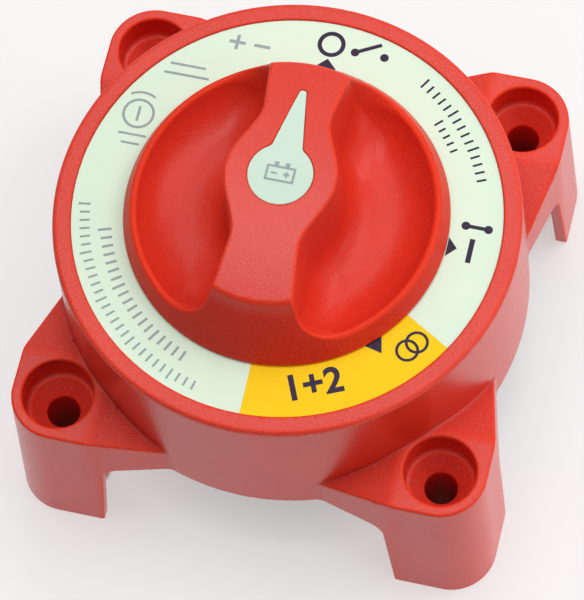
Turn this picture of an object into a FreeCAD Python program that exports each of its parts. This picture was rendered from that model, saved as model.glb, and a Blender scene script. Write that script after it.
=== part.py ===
"""Rotary battery switch with four terminals, a turning knob and a square, four-legged housing.

Millimetres.  Z is the shaft's axis, the feet stand on Z = 0 and the OFF mark is at +Y.
"""
import FreeCAD, Part
import Sketcher
import math
import os

Vector = FreeCAD.Vector
UP = Vector(0, 0, 1)
ORIGIN = Vector(0, 0, 0)
RIGHT_ANGLE = 90.0
HALF_TURN = 180.0
FULL_TURN = 360.0
QUARTERS = (0.0, 90.0, 180.0, 270.0)
# how far cutting tools reach past a face, and the slack when heights are compared
JOIN = 1.0
SMALL = 0.01
# circles' radii before the sheet's formulas drive them
DRAWN_RADII = {"inner": 10.0, "outer": 20.0}
STUD_ANGLE = 45.0
STUD_CHAMFER = 0.8
# angles that the fixed contacts cover before and after their stud
INNER_BEFORE = 43.0
CONTACT_AFTER = 8.0
OUTER_BEFORE = 50.0
OUTER_AFTER = 41.0
TAB_SWEEP = 8.0
# the moving contacts' feet, in the OFF position
INNER_FOOT_ANGLE = 135.0
INNER_FOOT_HALF = 12.0
OUTER_FOOT_ANGLE = 225.0
OUTER_FOOT_HALF = 8.0
FOOT_MARGIN = 0.3
SPRING_INSET = 16.0
SPRING_TURNS = 4.0
RUNNING_STEP = 0.2
RING_GAP = 60.0
DETENT_ANGLE = 30.0
DETENT_STEPS = (0.0, 90.0, 135.0)
DETENT_CLEAR = 0.15
LEAF_THICKNESS = 0.6
LEAF_HALF = 14.0
LEAF_SEAT = 0.1
LIP_RISE = 0.05
SLOT_WIDTH = 0.9
SLOT_DEPTH = 1.0
BEARING_RELIEF = 0.5
HEX_SIDES = 6
FIELD_START = -88.9

doc = FreeCAD.newDocument("battery_switch")
sheet = doc.addObject("Spreadsheet::Sheet", "Dim")

DIMENSIONS = (
    ("foot_half", 49.1, "half width across the feet, at the floor"),
    ("lug_half", 47.3, "half width across the lugs, at their top"),
    ("lug_corner", 9.2, "radius of the legs' outer corners"),
    ("lug_top", 39.0, "height of the lug tops"),
    ("mounting_half", 38.1, "half the mounting hole spacing"),
    ("mounting_hole_radius", 3.25, "radius of a mounting hole"),
    ("screw_bore_radius", 7.05, "radius of the bore that a screw head sinks into"),
    ("screw_bore_depth", 6.8, "depth of that bore's straight wall"),
    ("screw_seat_radius", 6.1, "outer radius of the dished seat"),
    ("screw_seat_depth", 3.1, "depth of the dished seat"),
    ("crease", 30.0, "distance from the centre planes where a lug's flat top ends"),
    ("web_tip_along", 14.95, "where a web runs out on the drum, along the side"),
    ("web_tip_out", 45.2, "where a web runs out on the drum, away from the centre, at the floor"),
    ("web_drop", 5.7, "how far a web's top falls from the crease to its tip"),
    ("leg_wall", 2.5, "thickness of a leg's walls"),
    ("arch_half_foot", 30.2, "half width of a cable arch at the floor"),
    ("arch_half_top", 28.1, "half width of a cable arch at its top"),
    ("arch_corner", 2.6, "radius of the arch's upper corners"),
    ("column_radius", 6.4, "radius of the column around a mounting hole"),
    ("rib_width", 2.0, "thickness of the ribs inside a leg"),
    ("drum_bottom", 25.1, "height of the drum's lower edge"),
    ("drum_low_radius", 46.55, "drum radius at its lower edge"),
    ("drum_top_radius", 45.3, "drum radius at its rim"),
    ("rim_top", 59.0, "height of the rim"),
    ("rim_fillet", 1.0, "rounding of the rim's outer edge"),
    ("edge_fillet", 0.45, "rounding of the lugs' and bores' edges"),
    ("label_radius", 41.65, "outer radius of the label"),
    ("label_inner_radius", 30.3, "inner radius of the label"),
    ("label_plane", 58.6, "height of the label's face"),
    ("label_thickness", 0.5, "thickness of the label"),
    ("label_field_sweep", 59.2, "angle of the label's second field"),
    ("well_radius", 29.9, "radius of the well under the knob"),
    ("well_floor", 54.5, "height of the well's floor"),
    ("ceiling", 51.0, "height of the mechanism chamber's ceiling"),
    ("chamber_radius", 41.0, "radius of the mechanism chamber"),
    ("plate_recess_radius", 43.3, "radius of the recess that takes the base plate"),
    ("plate_radius", 43.0, "radius of the base plate"),
    ("plate_bottom", 25.3, "height of the base plate's underside"),
    ("plate_thickness", 4.5, "thickness of the base plate"),
    ("gasket_thickness", 0.8, "thickness of the base gasket"),
    ("gasket_inner_radius", 41.3, "inner radius of the base gasket"),
    ("barrier_bottom", 12.0, "height of the barriers' lower edge"),
    ("barrier_width", 2.4, "thickness of the barriers between terminals"),
    ("barrier_reach", 37.0, "how far the barriers reach from the centre"),
    ("plate_screw_circle", 36.6, "radius of the base screws' circle"),
    ("plate_screw_radius", 1.7, "radius of a base screw's shank"),
    ("plate_screw_head", 3.3, "radius of a base screw's head"),
    ("plate_boss_radius", 3.8, "radius of the bosses that take the base screws"),
    ("stud_circle", 21.0, "radius of the studs' circle"),
    ("stud_radius", 4.76, "radius of a terminal stud"),
    ("stud_end", 3.0, "height of a stud's free end"),
    ("stud_flange_radius", 8.0, "radius of a stud's flange"),
    ("stud_flange_thickness", 3.0, "thickness of a stud's flange"),
    ("washer_radius", 9.5, "radius of a flat washer"),
    ("washer_thickness", 1.6, "thickness of a flat washer"),
    ("lock_radius", 8.0, "radius of a lock washer"),
    ("lock_thickness", 2.3, "thickness of a lock washer"),
    ("nut_across_flats", 14.3, "width of a stud nut across its flats"),
    ("nut_thickness", 8.3, "thickness of a stud nut"),
    ("contact_plane", 35.0, "height of the fixed contacts' faces"),
    ("deck_thickness", 2.0, "thickness of the insulating deck around them"),
    ("inner_track", 13.0, "inner radius of the inner contact track"),
    ("track_gap_in", 19.0, "outer radius of the inner contact track"),
    ("track_gap_out", 22.0, "inner radius of the outer contact track"),
    ("outer_track", 28.0, "outer radius of the outer contact track"),
    ("contact_gap", 0.05, "running gap under the moving contacts"),
    ("bar_bottom", 36.8, "height of a moving contact's bridge"),
    ("bar_thickness", 2.0, "thickness of that bridge"),
    ("bar_slack", 0.4, "side clearance of a moving contact in the rotor"),
    ("bar_float", 1.0, "room above a moving contact"),
    ("rotor_radius", 30.0, "radius of the rotor"),
    ("rotor_bottom", 37.3, "height of the rotor's underside"),
    ("rotor_top", 44.5, "height of the rotor's top"),
    ("rotor_hub_radius", 9.5, "radius of the rotor's hub"),
    ("spring_radius", 2.6, "outer radius of a contact spring"),
    ("spring_wire", 0.45, "radius of a contact spring's wire"),
    ("spring_top", 43.6, "height of a contact spring's upper end"),
    ("shaft_radius", 5.0, "radius of the shaft"),
    ("shaft_bottom", 32.5, "height of the shaft's lower end"),
    ("shaft_top", 67.0, "height of the shaft's upper end"),
    ("running_gap", 0.06, "radial gap of the shaft in its bushing"),
    ("bushing_radius", 7.2, "outer radius of the shaft bushing"),
    ("knob_radius", 31.5, "radius of the knob at its foot"),
    ("knob_foot", 58.9, "height of the knob's foot"),
    ("knob_foot_band", 0.6, "height of the straight band at the foot"),
    ("knob_disc_radius", 29.3, "radius of the knob's disc in the well"),
    ("knob_underside", 55.1, "height of the knob's underside"),
    ("lip_radius", 29.75, "outer radius of the finger bowls' lip"),
    ("lip_height", 63.4, "height of the finger bowls' lip"),
    ("bowl_circle", 20.3, "radius of the circle that the bowls' low line follows"),
    ("bowl_floor", 58.1, "height of the bowls' low line"),
    ("bowl_radius", 9.3, "radius of the bowls' section"),
    ("boss_radius", 10.7, "radius of the knob's centre boss at its top"),
    ("boss_foot_radius", 11.15, "radius of the knob's centre boss at its foot"),
    ("grip_half_middle", 5.1, "half width of the grip's straight sides where they cross the middle"),
    ("grip_half_end", 8.0, "half width of the grip's straight sides at the knob's edge"),
    ("grip_fillet", 0.6, "rounding of the grip's top edges"),
    ("grip_blend", 5.0, "radius of the blend between the boss and the grip's sides"),
    ("boss_draft_share", 0.5, "the boss's draft as a share of the grip's"),
    ("grip_draft", 2.3, "how much wider the grip is at its foot, each side"),
    ("grip_end", 25.3, "half length of the grip's top"),
    ("knob_top", 77.5, "overall height"),
    ("crown_radius", 88.0, "radius of the grip's crowned top, along its length"),
    ("inlay_radius", 6.3, "radius of the pointer inlay's disc"),
    ("inlay_root", 4.05, "half width of the pointer at the disc's centre"),
    ("inlay_tip_radius", 0.8, "radius of the pointer's tip"),
    ("inlay_tip", 17.9, "distance of the tip's centre from the axis"),
    ("inlay_floor", 74.9, "height of the inlay's underside"),
    ("hub_bottom", 46.6, "height of the housing hub's lower end"),
    ("stop_inner", 14.0, "inner radius of the turn stops"),
    ("stop_outer", 20.0, "outer radius of the turn stops"),
    ("stop_bottom", 45.5, "height of the stops' lower end"),
    ("stop_width", 12.0, "angle that one stop takes"),
    ("stop_tab_width", 12.0, "angle that the rotor's stop tab takes"),
    ("stop_gap", 0.8, "angle left between the tab and a stop at each end of the turn"),
    ("travel", 135.0, "angle of the knob's whole turn"),
    ("label_gap", 0.05, "radial gap around the label"),
    ("pivot_radius", 9.5, "radius of the base plate's pivot boss"),
    ("pivot_top", 34.9, "height of the pivot boss"),
    ("plate_screw_end", 41.0, "height of the base screws' tips"),
    ("lock_slit", 1.6, "width of a lock washer's slit"),
    ("screw_slot", 0.8, "width and depth of a base screw's slot"),
    ("deck_inner", 10.5, "inner radius of the contact deck"),
    ("deck_outer", 30.5, "outer radius of the contact deck"),
    ("deck_gap", 0.3, "gap between the deck and the fixed contacts"),
    ("bridge_inner", 18.5, "inner radius of a moving contact's bridge"),
    ("bridge_outer", 22.5, "outer radius of a moving contact's bridge"),
    ("shaft_flats", 7.4, "distance between the shaft's driving flats"),
    ("groove_radius", 3.9, "radius of the shaft in its ring groove"),
    ("retainer_bottom", 45.0, "height of the retaining ring's underside"),
    ("retainer_thickness", 1.2, "thickness of the retaining ring"),
    ("retainer_radius", 8.0, "outer radius of the retaining ring"),
    ("knob_screw_radius", 2.0, "radius of the knob screw's shank"),
    ("knob_screw_grip", 9.0, "length of the knob screw in the shaft"),
    ("knob_screw_head", 4.0, "radius of the knob screw's head"),
    ("knob_screw_seat", 71.5, "height of the knob screw's seat"),
    ("knob_screw_head_height", 2.6, "height of the knob screw's head"),
    ("detent_nose", 2.2, "radius of a detent notch"),
    ("detent_notch_circle", 30.9, "radius of the notches' circle"),
    ("seal_section", 0.8, "radius of the shaft seal's section"),
    ("thrust_inner", 5.2, "inner radius of the thrust washer"),
    ("thrust_outer", 12.0, "outer radius of the thrust washer"),
    ("thrust_thickness", 0.5, "thickness of the thrust washer"),
    ("inlay_gap", 0.05, "gap around the pointer inlay"),
    ("inlay_sink", 0.15, "how far the inlay lies below the grip's top"),
)


def fill_sheet():
    """Write the driving dimensions into the sheet, one row each."""
    for row, (alias, value, note) in enumerate(DIMENSIONS, start=1):
        sheet.set(f"A{row}", note)
        sheet.set(f"B{row}", str(value))
        sheet.setAlias(f"B{row}", alias)
    doc.recompute()


def size(alias):
    """Return one driving dimension."""
    return float(sheet.get(alias))


def bind(item, **formulas):
    """Bind an object's properties to formulas of the sheet's cells."""
    for prop, formula in formulas.items():
        item.setExpression(prop.replace("__", "."), formula)
    return item


def plane_of(body, role):
    """Return one of a body's own origin planes."""
    return next(item for item in body.Origin.OriginFeatures if item.Role == role)


def ring_body(label, inner, outer, bottom, height):
    """Make a flat ring as a body with one sketch and one pad."""
    body = doc.addObject("PartDesign::Body", label)
    sketch = body.newObject("Sketcher::SketchObject", label + "_outline")
    sketch.AttachmentSupport = [(plane_of(body, "XY_Plane"), "")]
    sketch.MapMode = "FlatFace"
    for name, formula in (("inner", inner), ("outer", outer)):
        drawn = DRAWN_RADII[name]
        circle = sketch.addGeometry(Part.Circle(ORIGIN, UP, drawn), False)
        sketch.addConstraint(Sketcher.Constraint("Coincident", circle, 3, -1, 1))
        radius = sketch.addConstraint(Sketcher.Constraint("Radius", circle, drawn))
        sketch.renameConstraint(radius, name)
        sketch.setExpression("Constraints." + name, formula)
    pad = body.newObject("PartDesign::Pad", label + "_pad")
    pad.Profile = sketch
    bind(pad, Length=height)
    bind(body, Placement__Base__z=bottom)
    sketch.Visibility = False
    return body


def cylinder(label, radius, bottom, height, at_x="0", at_y="0"):
    """Make an upright cylinder bound to the sheet."""
    item = doc.addObject("Part::Cylinder", label)
    bind(item, Radius=radius, Height=height)
    bind(item, Placement__Base__x=at_x, Placement__Base__y=at_y, Placement__Base__z=bottom)
    return item


def cut(label, base, tool):
    """Subtract one object from another."""
    item = doc.addObject("Part::Cut", label)
    item.Base = base
    item.Tool = tool
    return item


def fuse(label, parts):
    """Join several objects into one."""
    item = doc.addObject("Part::MultiFuse", label)
    item.Shapes = parts
    return item


def group(label, parts):
    """Keep identical pieces together as separate solids."""
    item = doc.addObject("Part::Compound", label)
    item.Links = parts
    return item


def solid_feature(label, shape):
    """Hold a shape that the primitives and sketches don't cover."""
    item = doc.addObject("Part::Feature", label)
    item.Shape = shape
    item.Placement = shape.Placement
    return item


def turned(shape, angle):
    """Return a copy turned about the shaft's axis."""
    copy = shape.copy()
    copy.rotate(ORIGIN, UP, angle)
    return copy


def on_quarters(shape, offset=0.0):
    """Return a shape's four copies, a quarter turn apart."""
    return [turned(shape, offset + angle) for angle in QUARTERS]


def polar(radius, angle, height=0.0):
    """Return a point from its radius and angle about the shaft's axis."""
    spin = math.radians(angle)
    return Vector(radius * math.cos(spin), radius * math.sin(spin), height)


def upright(radius, bottom, top, at=ORIGIN):
    """Return an upright cylinder's shape between two heights."""
    return Part.makeCylinder(radius, top - bottom, Vector(at.x, at.y, bottom))


def sector(inner, outer, start, sweep, bottom, top):
    """Return a ring sector's shape."""
    disc = Part.makeCylinder(outer, top - bottom, Vector(0, 0, bottom), UP, sweep)
    return turned(disc.cut(upright(inner, bottom - JOIN, top + JOIN)), start)


def prism(points, direction):
    """Return the solid swept by a closed outline of straight sides."""
    outline = Part.makePolygon(points + points[:1])
    return Part.Face(outline).extrude(direction)


def revolved(edges):
    """Return the solid turned from a closed outline about the shaft's axis."""
    return Part.Face(Part.Wire(edges)).revolve(ORIGIN, UP, FULL_TURN)


def lines(points):
    """Return straight edges through the points."""
    return [Part.makeLine(first, second) for first, second in zip(points, points[1:])]


def edges_where(shape, test):
    """Return the edges whose every vertex passes a test."""
    return [edge for edge in shape.Edges if edge.Vertexes and all(test(v.Point) for v in edge.Vertexes)]


def lug_outline(half, crease, tip_out, height):
    """Return the housing's outline with its webs, at one height."""
    tip_along = size("web_tip_along")
    corner = size("lug_corner")
    centre = half - corner
    bend = corner * math.sqrt(0.5)
    edges = []
    for angle in QUARTERS:
        points = [
            Vector(tip_out, tip_along, height),
            Vector(half, crease, height),
            Vector(half, centre, height),
        ]
        arc = Part.Arc(
            points[-1],
            Vector(centre + bend, centre + bend, height),
            Vector(centre, half, height),
        ).toShape()
        after = [
            Vector(centre, half, height),
            Vector(crease, half, height),
            Vector(tip_along, tip_out, height),
            Vector(-tip_along, tip_out, height),
        ]
        for edge in lines(points) + [arc] + lines(after):
            edges.append(turned(edge, angle))
    return Part.Wire(Part.__sortEdges__(edges))


def rounded_square(half, corner, height):
    """Return a square outline with round corners."""
    edges = []
    centre = half - corner
    bend = corner * math.sqrt(0.5)
    for angle in QUARTERS:
        start = Vector(half, centre, height)
        finish = Vector(centre, half, height)
        arc = Part.Arc(start, Vector(centre + bend, centre + bend, height), finish).toShape()
        side = Part.makeLine(finish, Vector(-centre, half, height))
        edges.append(turned(arc, angle))
        edges.append(turned(side, angle))
    return Part.Wire(Part.__sortEdges__(edges))


def legs_and_lugs():
    """Return the four drafted legs with their lugs and webs, around the drum."""
    foot = size("foot_half")
    lug = size("lug_half")
    top = size("lug_top")
    crease = size("crease")
    along = size("web_tip_along")
    draft = foot - lug
    block = Part.makeLoft(
        [
            lug_outline(foot, crease, size("web_tip_out"), 0.0),
            lug_outline(lug, crease, size("web_tip_out") - draft, top),
        ],
        True,
        True,
    )
    reach = 2.0 * foot
    tip_height = top - size("web_drop")
    valley = prism(
        [
            Vector(-crease, -reach, top),
            Vector(-along, -reach, tip_height),
            Vector(along, -reach, tip_height),
            Vector(crease, -reach, top),
            Vector(crease, -reach, top + JOIN),
            Vector(-crease, -reach, top + JOIN),
        ],
        Vector(0, 2.0 * reach, 0),
    )
    ledge = size("drum_bottom")
    arch = prism(
        [
            Vector(-size("arch_half_foot"), -reach, 0),
            Vector(-size("arch_half_top"), -reach, ledge),
            Vector(size("arch_half_top"), -reach, ledge),
            Vector(size("arch_half_foot"), -reach, 0),
        ],
        Vector(0, 2.0 * reach, 0),
    )
    arch = arch.makeFillet(
        size("arch_corner"),
        [e for e in arch.Edges if e.BoundBox.YLength > foot and e.BoundBox.ZMin > ledge - JOIN],
    )
    wall = size("leg_wall")
    corner = size("lug_corner") - wall
    hollow = Part.makeLoft(
        [
            rounded_square(foot - wall, corner, 0.0),
            rounded_square(foot - wall - draft * ledge / top, corner, ledge),
        ],
        True,
        True,
    )
    block = block.cut([valley, turned(valley, RIGHT_ANGLE), hollow, arch, turned(arch, RIGHT_ANGLE)])
    hole = Vector(size("mounting_half"), size("mounting_half"), 0)
    half_rib = size("rib_width") / 2.0
    rib_length = foot - (wall + draft * ledge / top) / 2.0 - hole.x
    column = upright(size("column_radius"), 0.0, ledge + JOIN, hole)
    rib_x = Part.makeBox(rib_length, 2.0 * half_rib, ledge + JOIN, Vector(hole.x, hole.y - half_rib, 0))
    rib_y = Part.makeBox(2.0 * half_rib, rib_length, ledge + JOIN, Vector(hole.x - half_rib, hole.y, 0))
    inside = column.fuse([rib_x, rib_y])
    return block.fuse(on_quarters(inside))


def screw_bore():
    """Return the space that a mounting screw takes in the first quarter's lug."""
    hole = Vector(size("mounting_half"), size("mounting_half"), 0)
    top = size("lug_top")
    seat_top = top - size("screw_bore_depth")
    seat_bottom = seat_top - size("screw_seat_depth")
    through = upright(size("mounting_hole_radius"), -JOIN, top, hole)
    bore = upright(size("screw_bore_radius"), seat_top, top + JOIN, hole)
    seat = Part.makeCone(
        size("mounting_hole_radius"),
        size("screw_seat_radius"),
        seat_top - seat_bottom,
        Vector(hole.x, hole.y, seat_bottom),
    )
    return through.fuse([bore, seat])


def chamber():
    """Return the space inside the drum, from the base plate's recess to the ceiling."""
    bottom = size("drum_bottom")
    shelf = size("plate_bottom") + size("plate_thickness") + size("gasket_thickness")
    ceiling = size("ceiling")
    circle = size("plate_screw_circle")
    radius = size("plate_boss_radius")
    recess = upright(size("plate_recess_radius"), bottom - JOIN, shelf)
    room = upright(size("chamber_radius"), shelf - JOIN, ceiling)
    boss = upright(radius, shelf, ceiling, Vector(circle, 0, 0))
    back = Part.makeBox(radius + JOIN, 2.0 * radius, ceiling - shelf, Vector(circle, -radius, shelf))
    hub = upright(size("rotor_hub_radius"), size("hub_bottom"), ceiling)
    room = room.cut(on_quarters(boss.fuse(back)) + [hub] + stops())
    screw_hole = upright(size("plate_screw_radius"), shelf, size("plate_screw_end"), Vector(circle, 0, 0))
    return recess.fuse([room] + on_quarters(screw_hole))


def stops():
    """Return the two ribs that end the rotor's turn."""
    stop_width = size("stop_width")
    gap = size("stop_gap")
    tab_half = size("stop_tab_width") / 2.0
    first = tab_half + gap
    last = -size("travel") - tab_half - gap - stop_width
    inner = size("stop_inner")
    outer = size("stop_outer")
    bottom = size("stop_bottom")
    return [sector(inner, outer, start, stop_width, bottom, size("ceiling")) for start in (first, last)]


def drum():
    """Return the drum with its rim, before anything is taken out of it."""
    bottom = size("drum_bottom")
    top = size("rim_top")
    low_radius = size("drum_low_radius")
    shell = Part.makeCone(low_radius, size("drum_top_radius"), top - bottom, Vector(0, 0, bottom))
    return shell.makeFillet(size("rim_fillet"), edges_where(shell, lambda p: p.z > top - JOIN))


def housing_shape():
    """Return the moulded housing."""
    body = drum().fuse(legs_and_lugs())
    body = body.removeSplitter()
    label_floor = size("label_plane") - size("label_thickness")
    label_recess = upright(size("label_radius") + size("label_gap"), label_floor, size("rim_top") + JOIN)
    well = upright(size("well_radius"), size("well_floor"), size("rim_top"))
    bushing_bore = upright(size("bushing_radius"), size("hub_bottom") - JOIN, size("well_floor") + JOIN)
    bores = on_quarters(screw_bore())
    body = body.cut([label_recess, well, bushing_bore, chamber()] + bores)
    deck = size("lug_top")
    outside = size("drum_low_radius")
    lug_edges = edges_where(body, lambda p: abs(p.z - deck) < SMALL and math.hypot(p.x, p.y) > outside)
    return body.makeFillet(size("edge_fillet"), lug_edges)


def base_plate_shape():
    """Return the insulating plate that closes the drum and carries the terminals."""
    bottom = size("plate_bottom")
    top = bottom + size("plate_thickness")
    plate = upright(size("plate_radius"), bottom, top)
    half = size("barrier_width") / 2.0
    reach = size("barrier_reach")
    barrier = Part.makeBox(
        2.0 * reach,
        2.0 * half,
        bottom - size("barrier_bottom"),
        Vector(-reach, -half, size("barrier_bottom")),
    )
    pivot = upright(size("pivot_radius"), top, size("pivot_top"))
    plate = plate.fuse([barrier, turned(barrier, RIGHT_ANGLE), pivot])
    circle = size("plate_screw_circle")
    head = size("plate_screw_head")
    shank = size("plate_screw_radius")
    screw_hole = upright(shank, bottom - JOIN, top + JOIN, Vector(circle, 0, 0)).fuse(
        Part.makeCone(head, shank, head - shank, Vector(circle, 0, bottom))
    )
    relief = upright(head, size("barrier_bottom"), bottom, Vector(circle, 0, 0))
    stud_place = polar(size("stud_circle"), STUD_ANGLE)
    stud_hole = upright(size("stud_radius"), bottom - JOIN, top + JOIN, stud_place)
    bearing = upright(
        size("shaft_radius") + size("running_gap"),
        size("shaft_bottom") - BEARING_RELIEF,
        size("pivot_top") + JOIN,
    )
    return plate.cut(on_quarters(screw_hole) + on_quarters(relief) + on_quarters(stud_hole) + [bearing])


def terminal_shape(number):
    """Return one terminal: a stud, its flange and its fixed contact, in one piece of copper."""
    angle = STUD_ANGLE + RIGHT_ANGLE * number
    floor = size("plate_bottom") + size("plate_thickness")
    centre = polar(size("stud_circle"), angle)
    shank = upright(size("stud_radius"), size("stud_end"), floor, centre)
    end = shank.makeChamfer(STUD_CHAMFER, edges_where(shank, lambda p: p.z < size("stud_end") + JOIN))
    flange = upright(size("stud_flange_radius"), floor, floor + size("stud_flange_thickness"), centre)
    return end.fuse([flange] + contact_sectors(number, 0.0, floor, size("contact_plane")))


def contact_sectors(number, gap, bottom, top):
    """Return the sectors of one fixed contact, widened by a gap on every side."""
    angle = STUD_ANGLE + RIGHT_ANGLE * number
    track_in = size("inner_track")
    gap_in = size("track_gap_in")
    gap_out = size("track_gap_out")
    track_out = size("outer_track")
    if number % 2 == 0:
        spread = math.degrees(gap / track_in)
        return [
            sector(
                track_in - gap,
                gap_in + gap,
                angle - INNER_BEFORE - spread,
                INNER_BEFORE + CONTACT_AFTER + 2.0 * spread,
                bottom,
                top,
            )
        ]
    spread = math.degrees(gap / gap_out)
    arc = sector(
        gap_out - gap,
        track_out + gap,
        angle - OUTER_BEFORE - spread,
        OUTER_BEFORE + OUTER_AFTER + 2.0 * spread,
        bottom,
        top,
    )
    tab_spread = math.degrees(gap / track_in)
    tab = sector(
        track_in - gap,
        gap_out + gap,
        angle + OUTER_AFTER - TAB_SWEEP - tab_spread,
        TAB_SWEEP + tab_spread + spread,
        bottom,
        top,
    )
    return [arc, tab]


def contact_deck_shape():
    """Return the insulating deck that the moving contacts slide on between the fixed ones."""
    top = size("contact_plane") - size("contact_gap")
    bottom = top - size("deck_thickness")
    deck = sector(size("deck_inner"), size("deck_outer"), 0.0, FULL_TURN, bottom, top)
    pockets = []
    for number in range(len(QUARTERS)):
        pockets += contact_sectors(number, size("deck_gap"), bottom - JOIN, top + JOIN)
    return deck.cut(pockets)


def bar_outline(gap, bottom, top, foot_bottom):
    """Return one moving contact: an arched bridge with a foot on each track, widened by a gap."""
    bridge_in = size("bridge_inner")
    bridge_out = size("bridge_outer")
    inner_start = INNER_FOOT_ANGLE - INNER_FOOT_HALF
    outer_end = OUTER_FOOT_ANGLE + OUTER_FOOT_HALF
    spread = math.degrees(gap / bridge_in)
    margin = FOOT_MARGIN - gap
    bridge = sector(
        bridge_in - gap,
        bridge_out + gap,
        inner_start - spread,
        outer_end - inner_start + 2.0 * spread,
        bottom,
        top,
    )
    inner_foot = sector(
        size("inner_track") + margin,
        bridge_in + FOOT_MARGIN,
        inner_start - spread,
        2.0 * (INNER_FOOT_HALF + spread),
        foot_bottom,
        top,
    )
    outer_foot = sector(
        bridge_out - FOOT_MARGIN,
        size("outer_track") - margin,
        OUTER_FOOT_ANGLE - OUTER_FOOT_HALF - spread,
        2.0 * (OUTER_FOOT_HALF + spread),
        foot_bottom,
        top,
    )
    return bridge.fuse([inner_foot, outer_foot])


def contact_bar_shape():
    """Return the first moving contact, in the OFF position."""
    bottom = size("bar_bottom")
    top = bottom + size("bar_thickness")
    return bar_outline(0.0, bottom, top, size("contact_plane") + size("contact_gap"))


def spring_places():
    """Return where the first moving contact's two springs stand."""
    middle = (size("bridge_inner") + size("bridge_outer")) / 2.0
    inset = SPRING_INSET
    return [polar(middle, INNER_FOOT_ANGLE + inset), polar(middle, OUTER_FOOT_ANGLE - inset)]


def spring_shape(at, bottom, top):
    """Return one coil spring between two heights."""
    wire = size("spring_wire")
    mean = size("spring_radius") - wire
    low = bottom + wire
    length = top - bottom - 2.0 * wire
    helix = Part.makeHelix(length / SPRING_TURNS, length, mean)
    start = Vector(mean, 0, 0)
    section = Part.Wire(Part.makeCircle(wire, start, Vector(0, 1, 0)))
    coil = Part.Wire(helix.Edges).makePipeShell([section], True, True)
    coil.translate(Vector(at.x, at.y, low))
    return coil


def rotor_shape():
    """Return the rotor that carries the moving contacts round."""
    bottom = size("rotor_bottom")
    top = size("rotor_top")
    disc = upright(size("rotor_radius"), bottom, top)
    hub = upright(size("rotor_hub_radius"), size("pivot_top") + RUNNING_STEP, size("retainer_bottom"))
    tab_half = size("stop_tab_width") / 2.0
    tab = sector(
        size("stop_inner"),
        size("stop_outer"),
        -tab_half,
        2.0 * tab_half,
        top - JOIN,
        size("ceiling") - RUNNING_STEP,
    )
    body = disc.fuse([hub, tab])
    slack = size("bar_slack")
    pocket_top = size("bar_bottom") + size("bar_thickness") + size("bar_float")
    pocket = bar_outline(slack, bottom - JOIN, pocket_top, bottom - JOIN)
    seat = size("spring_radius") + slack
    channel = pocket.fuse([upright(seat, bottom, size("spring_top"), at) for at in spring_places()])
    drive = drive_hole(size("pivot_top"), size("retainer_bottom") + JOIN)
    notch_place = Vector(size("detent_notch_circle"), 0, 0)
    notch = upright(size("detent_nose"), bottom - JOIN, top + JOIN, notch_place)
    halves = (0.0, HALF_TURN)
    notches = [turned(notch, DETENT_ANGLE + step + half) for step in DETENT_STEPS for half in halves]
    return body.cut([channel, turned(channel, HALF_TURN), drive] + notches)


def drive_hole(bottom, top):
    """Return the two-flat hole that the shaft drives."""
    round_part = upright(size("shaft_radius"), bottom, top)
    return round_part.common(flats_box(bottom, top))


def flats_box(bottom, top):
    """Return the block that cuts a shaft to two flats."""
    across = size("shaft_flats")
    reach = size("shaft_radius") + JOIN
    return Part.makeBox(2.0 * reach, across, top - bottom, Vector(-reach, -across / 2.0, bottom))


def shaft_shape():
    """Return the shaft: round where it turns, with two flats where it drives."""
    radius = size("shaft_radius")
    bottom = size("shaft_bottom")
    top = size("shaft_top")
    rotor_foot = size("pivot_top") + RUNNING_STEP
    groove_bottom = size("retainer_bottom")
    groove_top = groove_bottom + size("retainer_thickness")
    knob_foot = size("knob_underside")
    stages = [
        upright(radius, bottom, rotor_foot),
        drive_hole(rotor_foot, groove_bottom),
        upright(size("groove_radius"), groove_bottom, groove_top),
        upright(radius, groove_top, knob_foot),
        drive_hole(knob_foot, top),
    ]
    body = stages[0].fuse(stages[1:])
    tapped = upright(size("knob_screw_radius"), top - size("knob_screw_grip"), top + JOIN)
    return body.cut(tapped)


def retaining_ring_shape():
    """Return the split ring that holds the rotor's shaft up."""
    bottom = size("retainer_bottom")
    return sector(
        size("groove_radius"),
        size("retainer_radius"),
        RING_GAP / 2.0,
        FULL_TURN - RING_GAP,
        bottom,
        bottom + size("retainer_thickness"),
    )


def crown(sink):
    """Return the long round bar whose top is the grip's crowned top."""
    radius = size("crown_radius") - sink
    reach = 2.0 * size("knob_radius")
    height = size("knob_top") - size("crown_radius")
    return Part.makeCylinder(radius, 2.0 * reach, Vector(-reach, 0, height), Vector(1, 0, 0))


def grip_end_height():
    """Return the height of the grip's top at its two ends, where the crown has fallen away."""
    radius = size("crown_radius")
    return size("knob_top") - radius + math.sqrt(radius ** 2 - size("grip_end") ** 2)


def knob_envelope():
    """Return the knob's turned outer form, without its finger bowls."""
    foot = size("knob_foot")
    band = foot + size("knob_foot_band")
    top = size("knob_top") + JOIN
    end = size("grip_end")
    end_height = grip_end_height()
    slope = (size("lip_radius") - end) / (end_height - size("lip_height"))
    profile = [
        Vector(0, 0, size("knob_underside")),
        Vector(size("knob_disc_radius"), 0, size("knob_underside")),
        Vector(size("knob_disc_radius"), 0, foot),
        Vector(size("knob_radius"), 0, foot),
        Vector(size("knob_radius"), 0, band),
        Vector(size("lip_radius"), 0, size("lip_height")),
        Vector(end - slope * (top - end_height), 0, top),
        Vector(0, 0, top),
    ]
    return revolved(lines(profile + profile[:1]))


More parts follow.
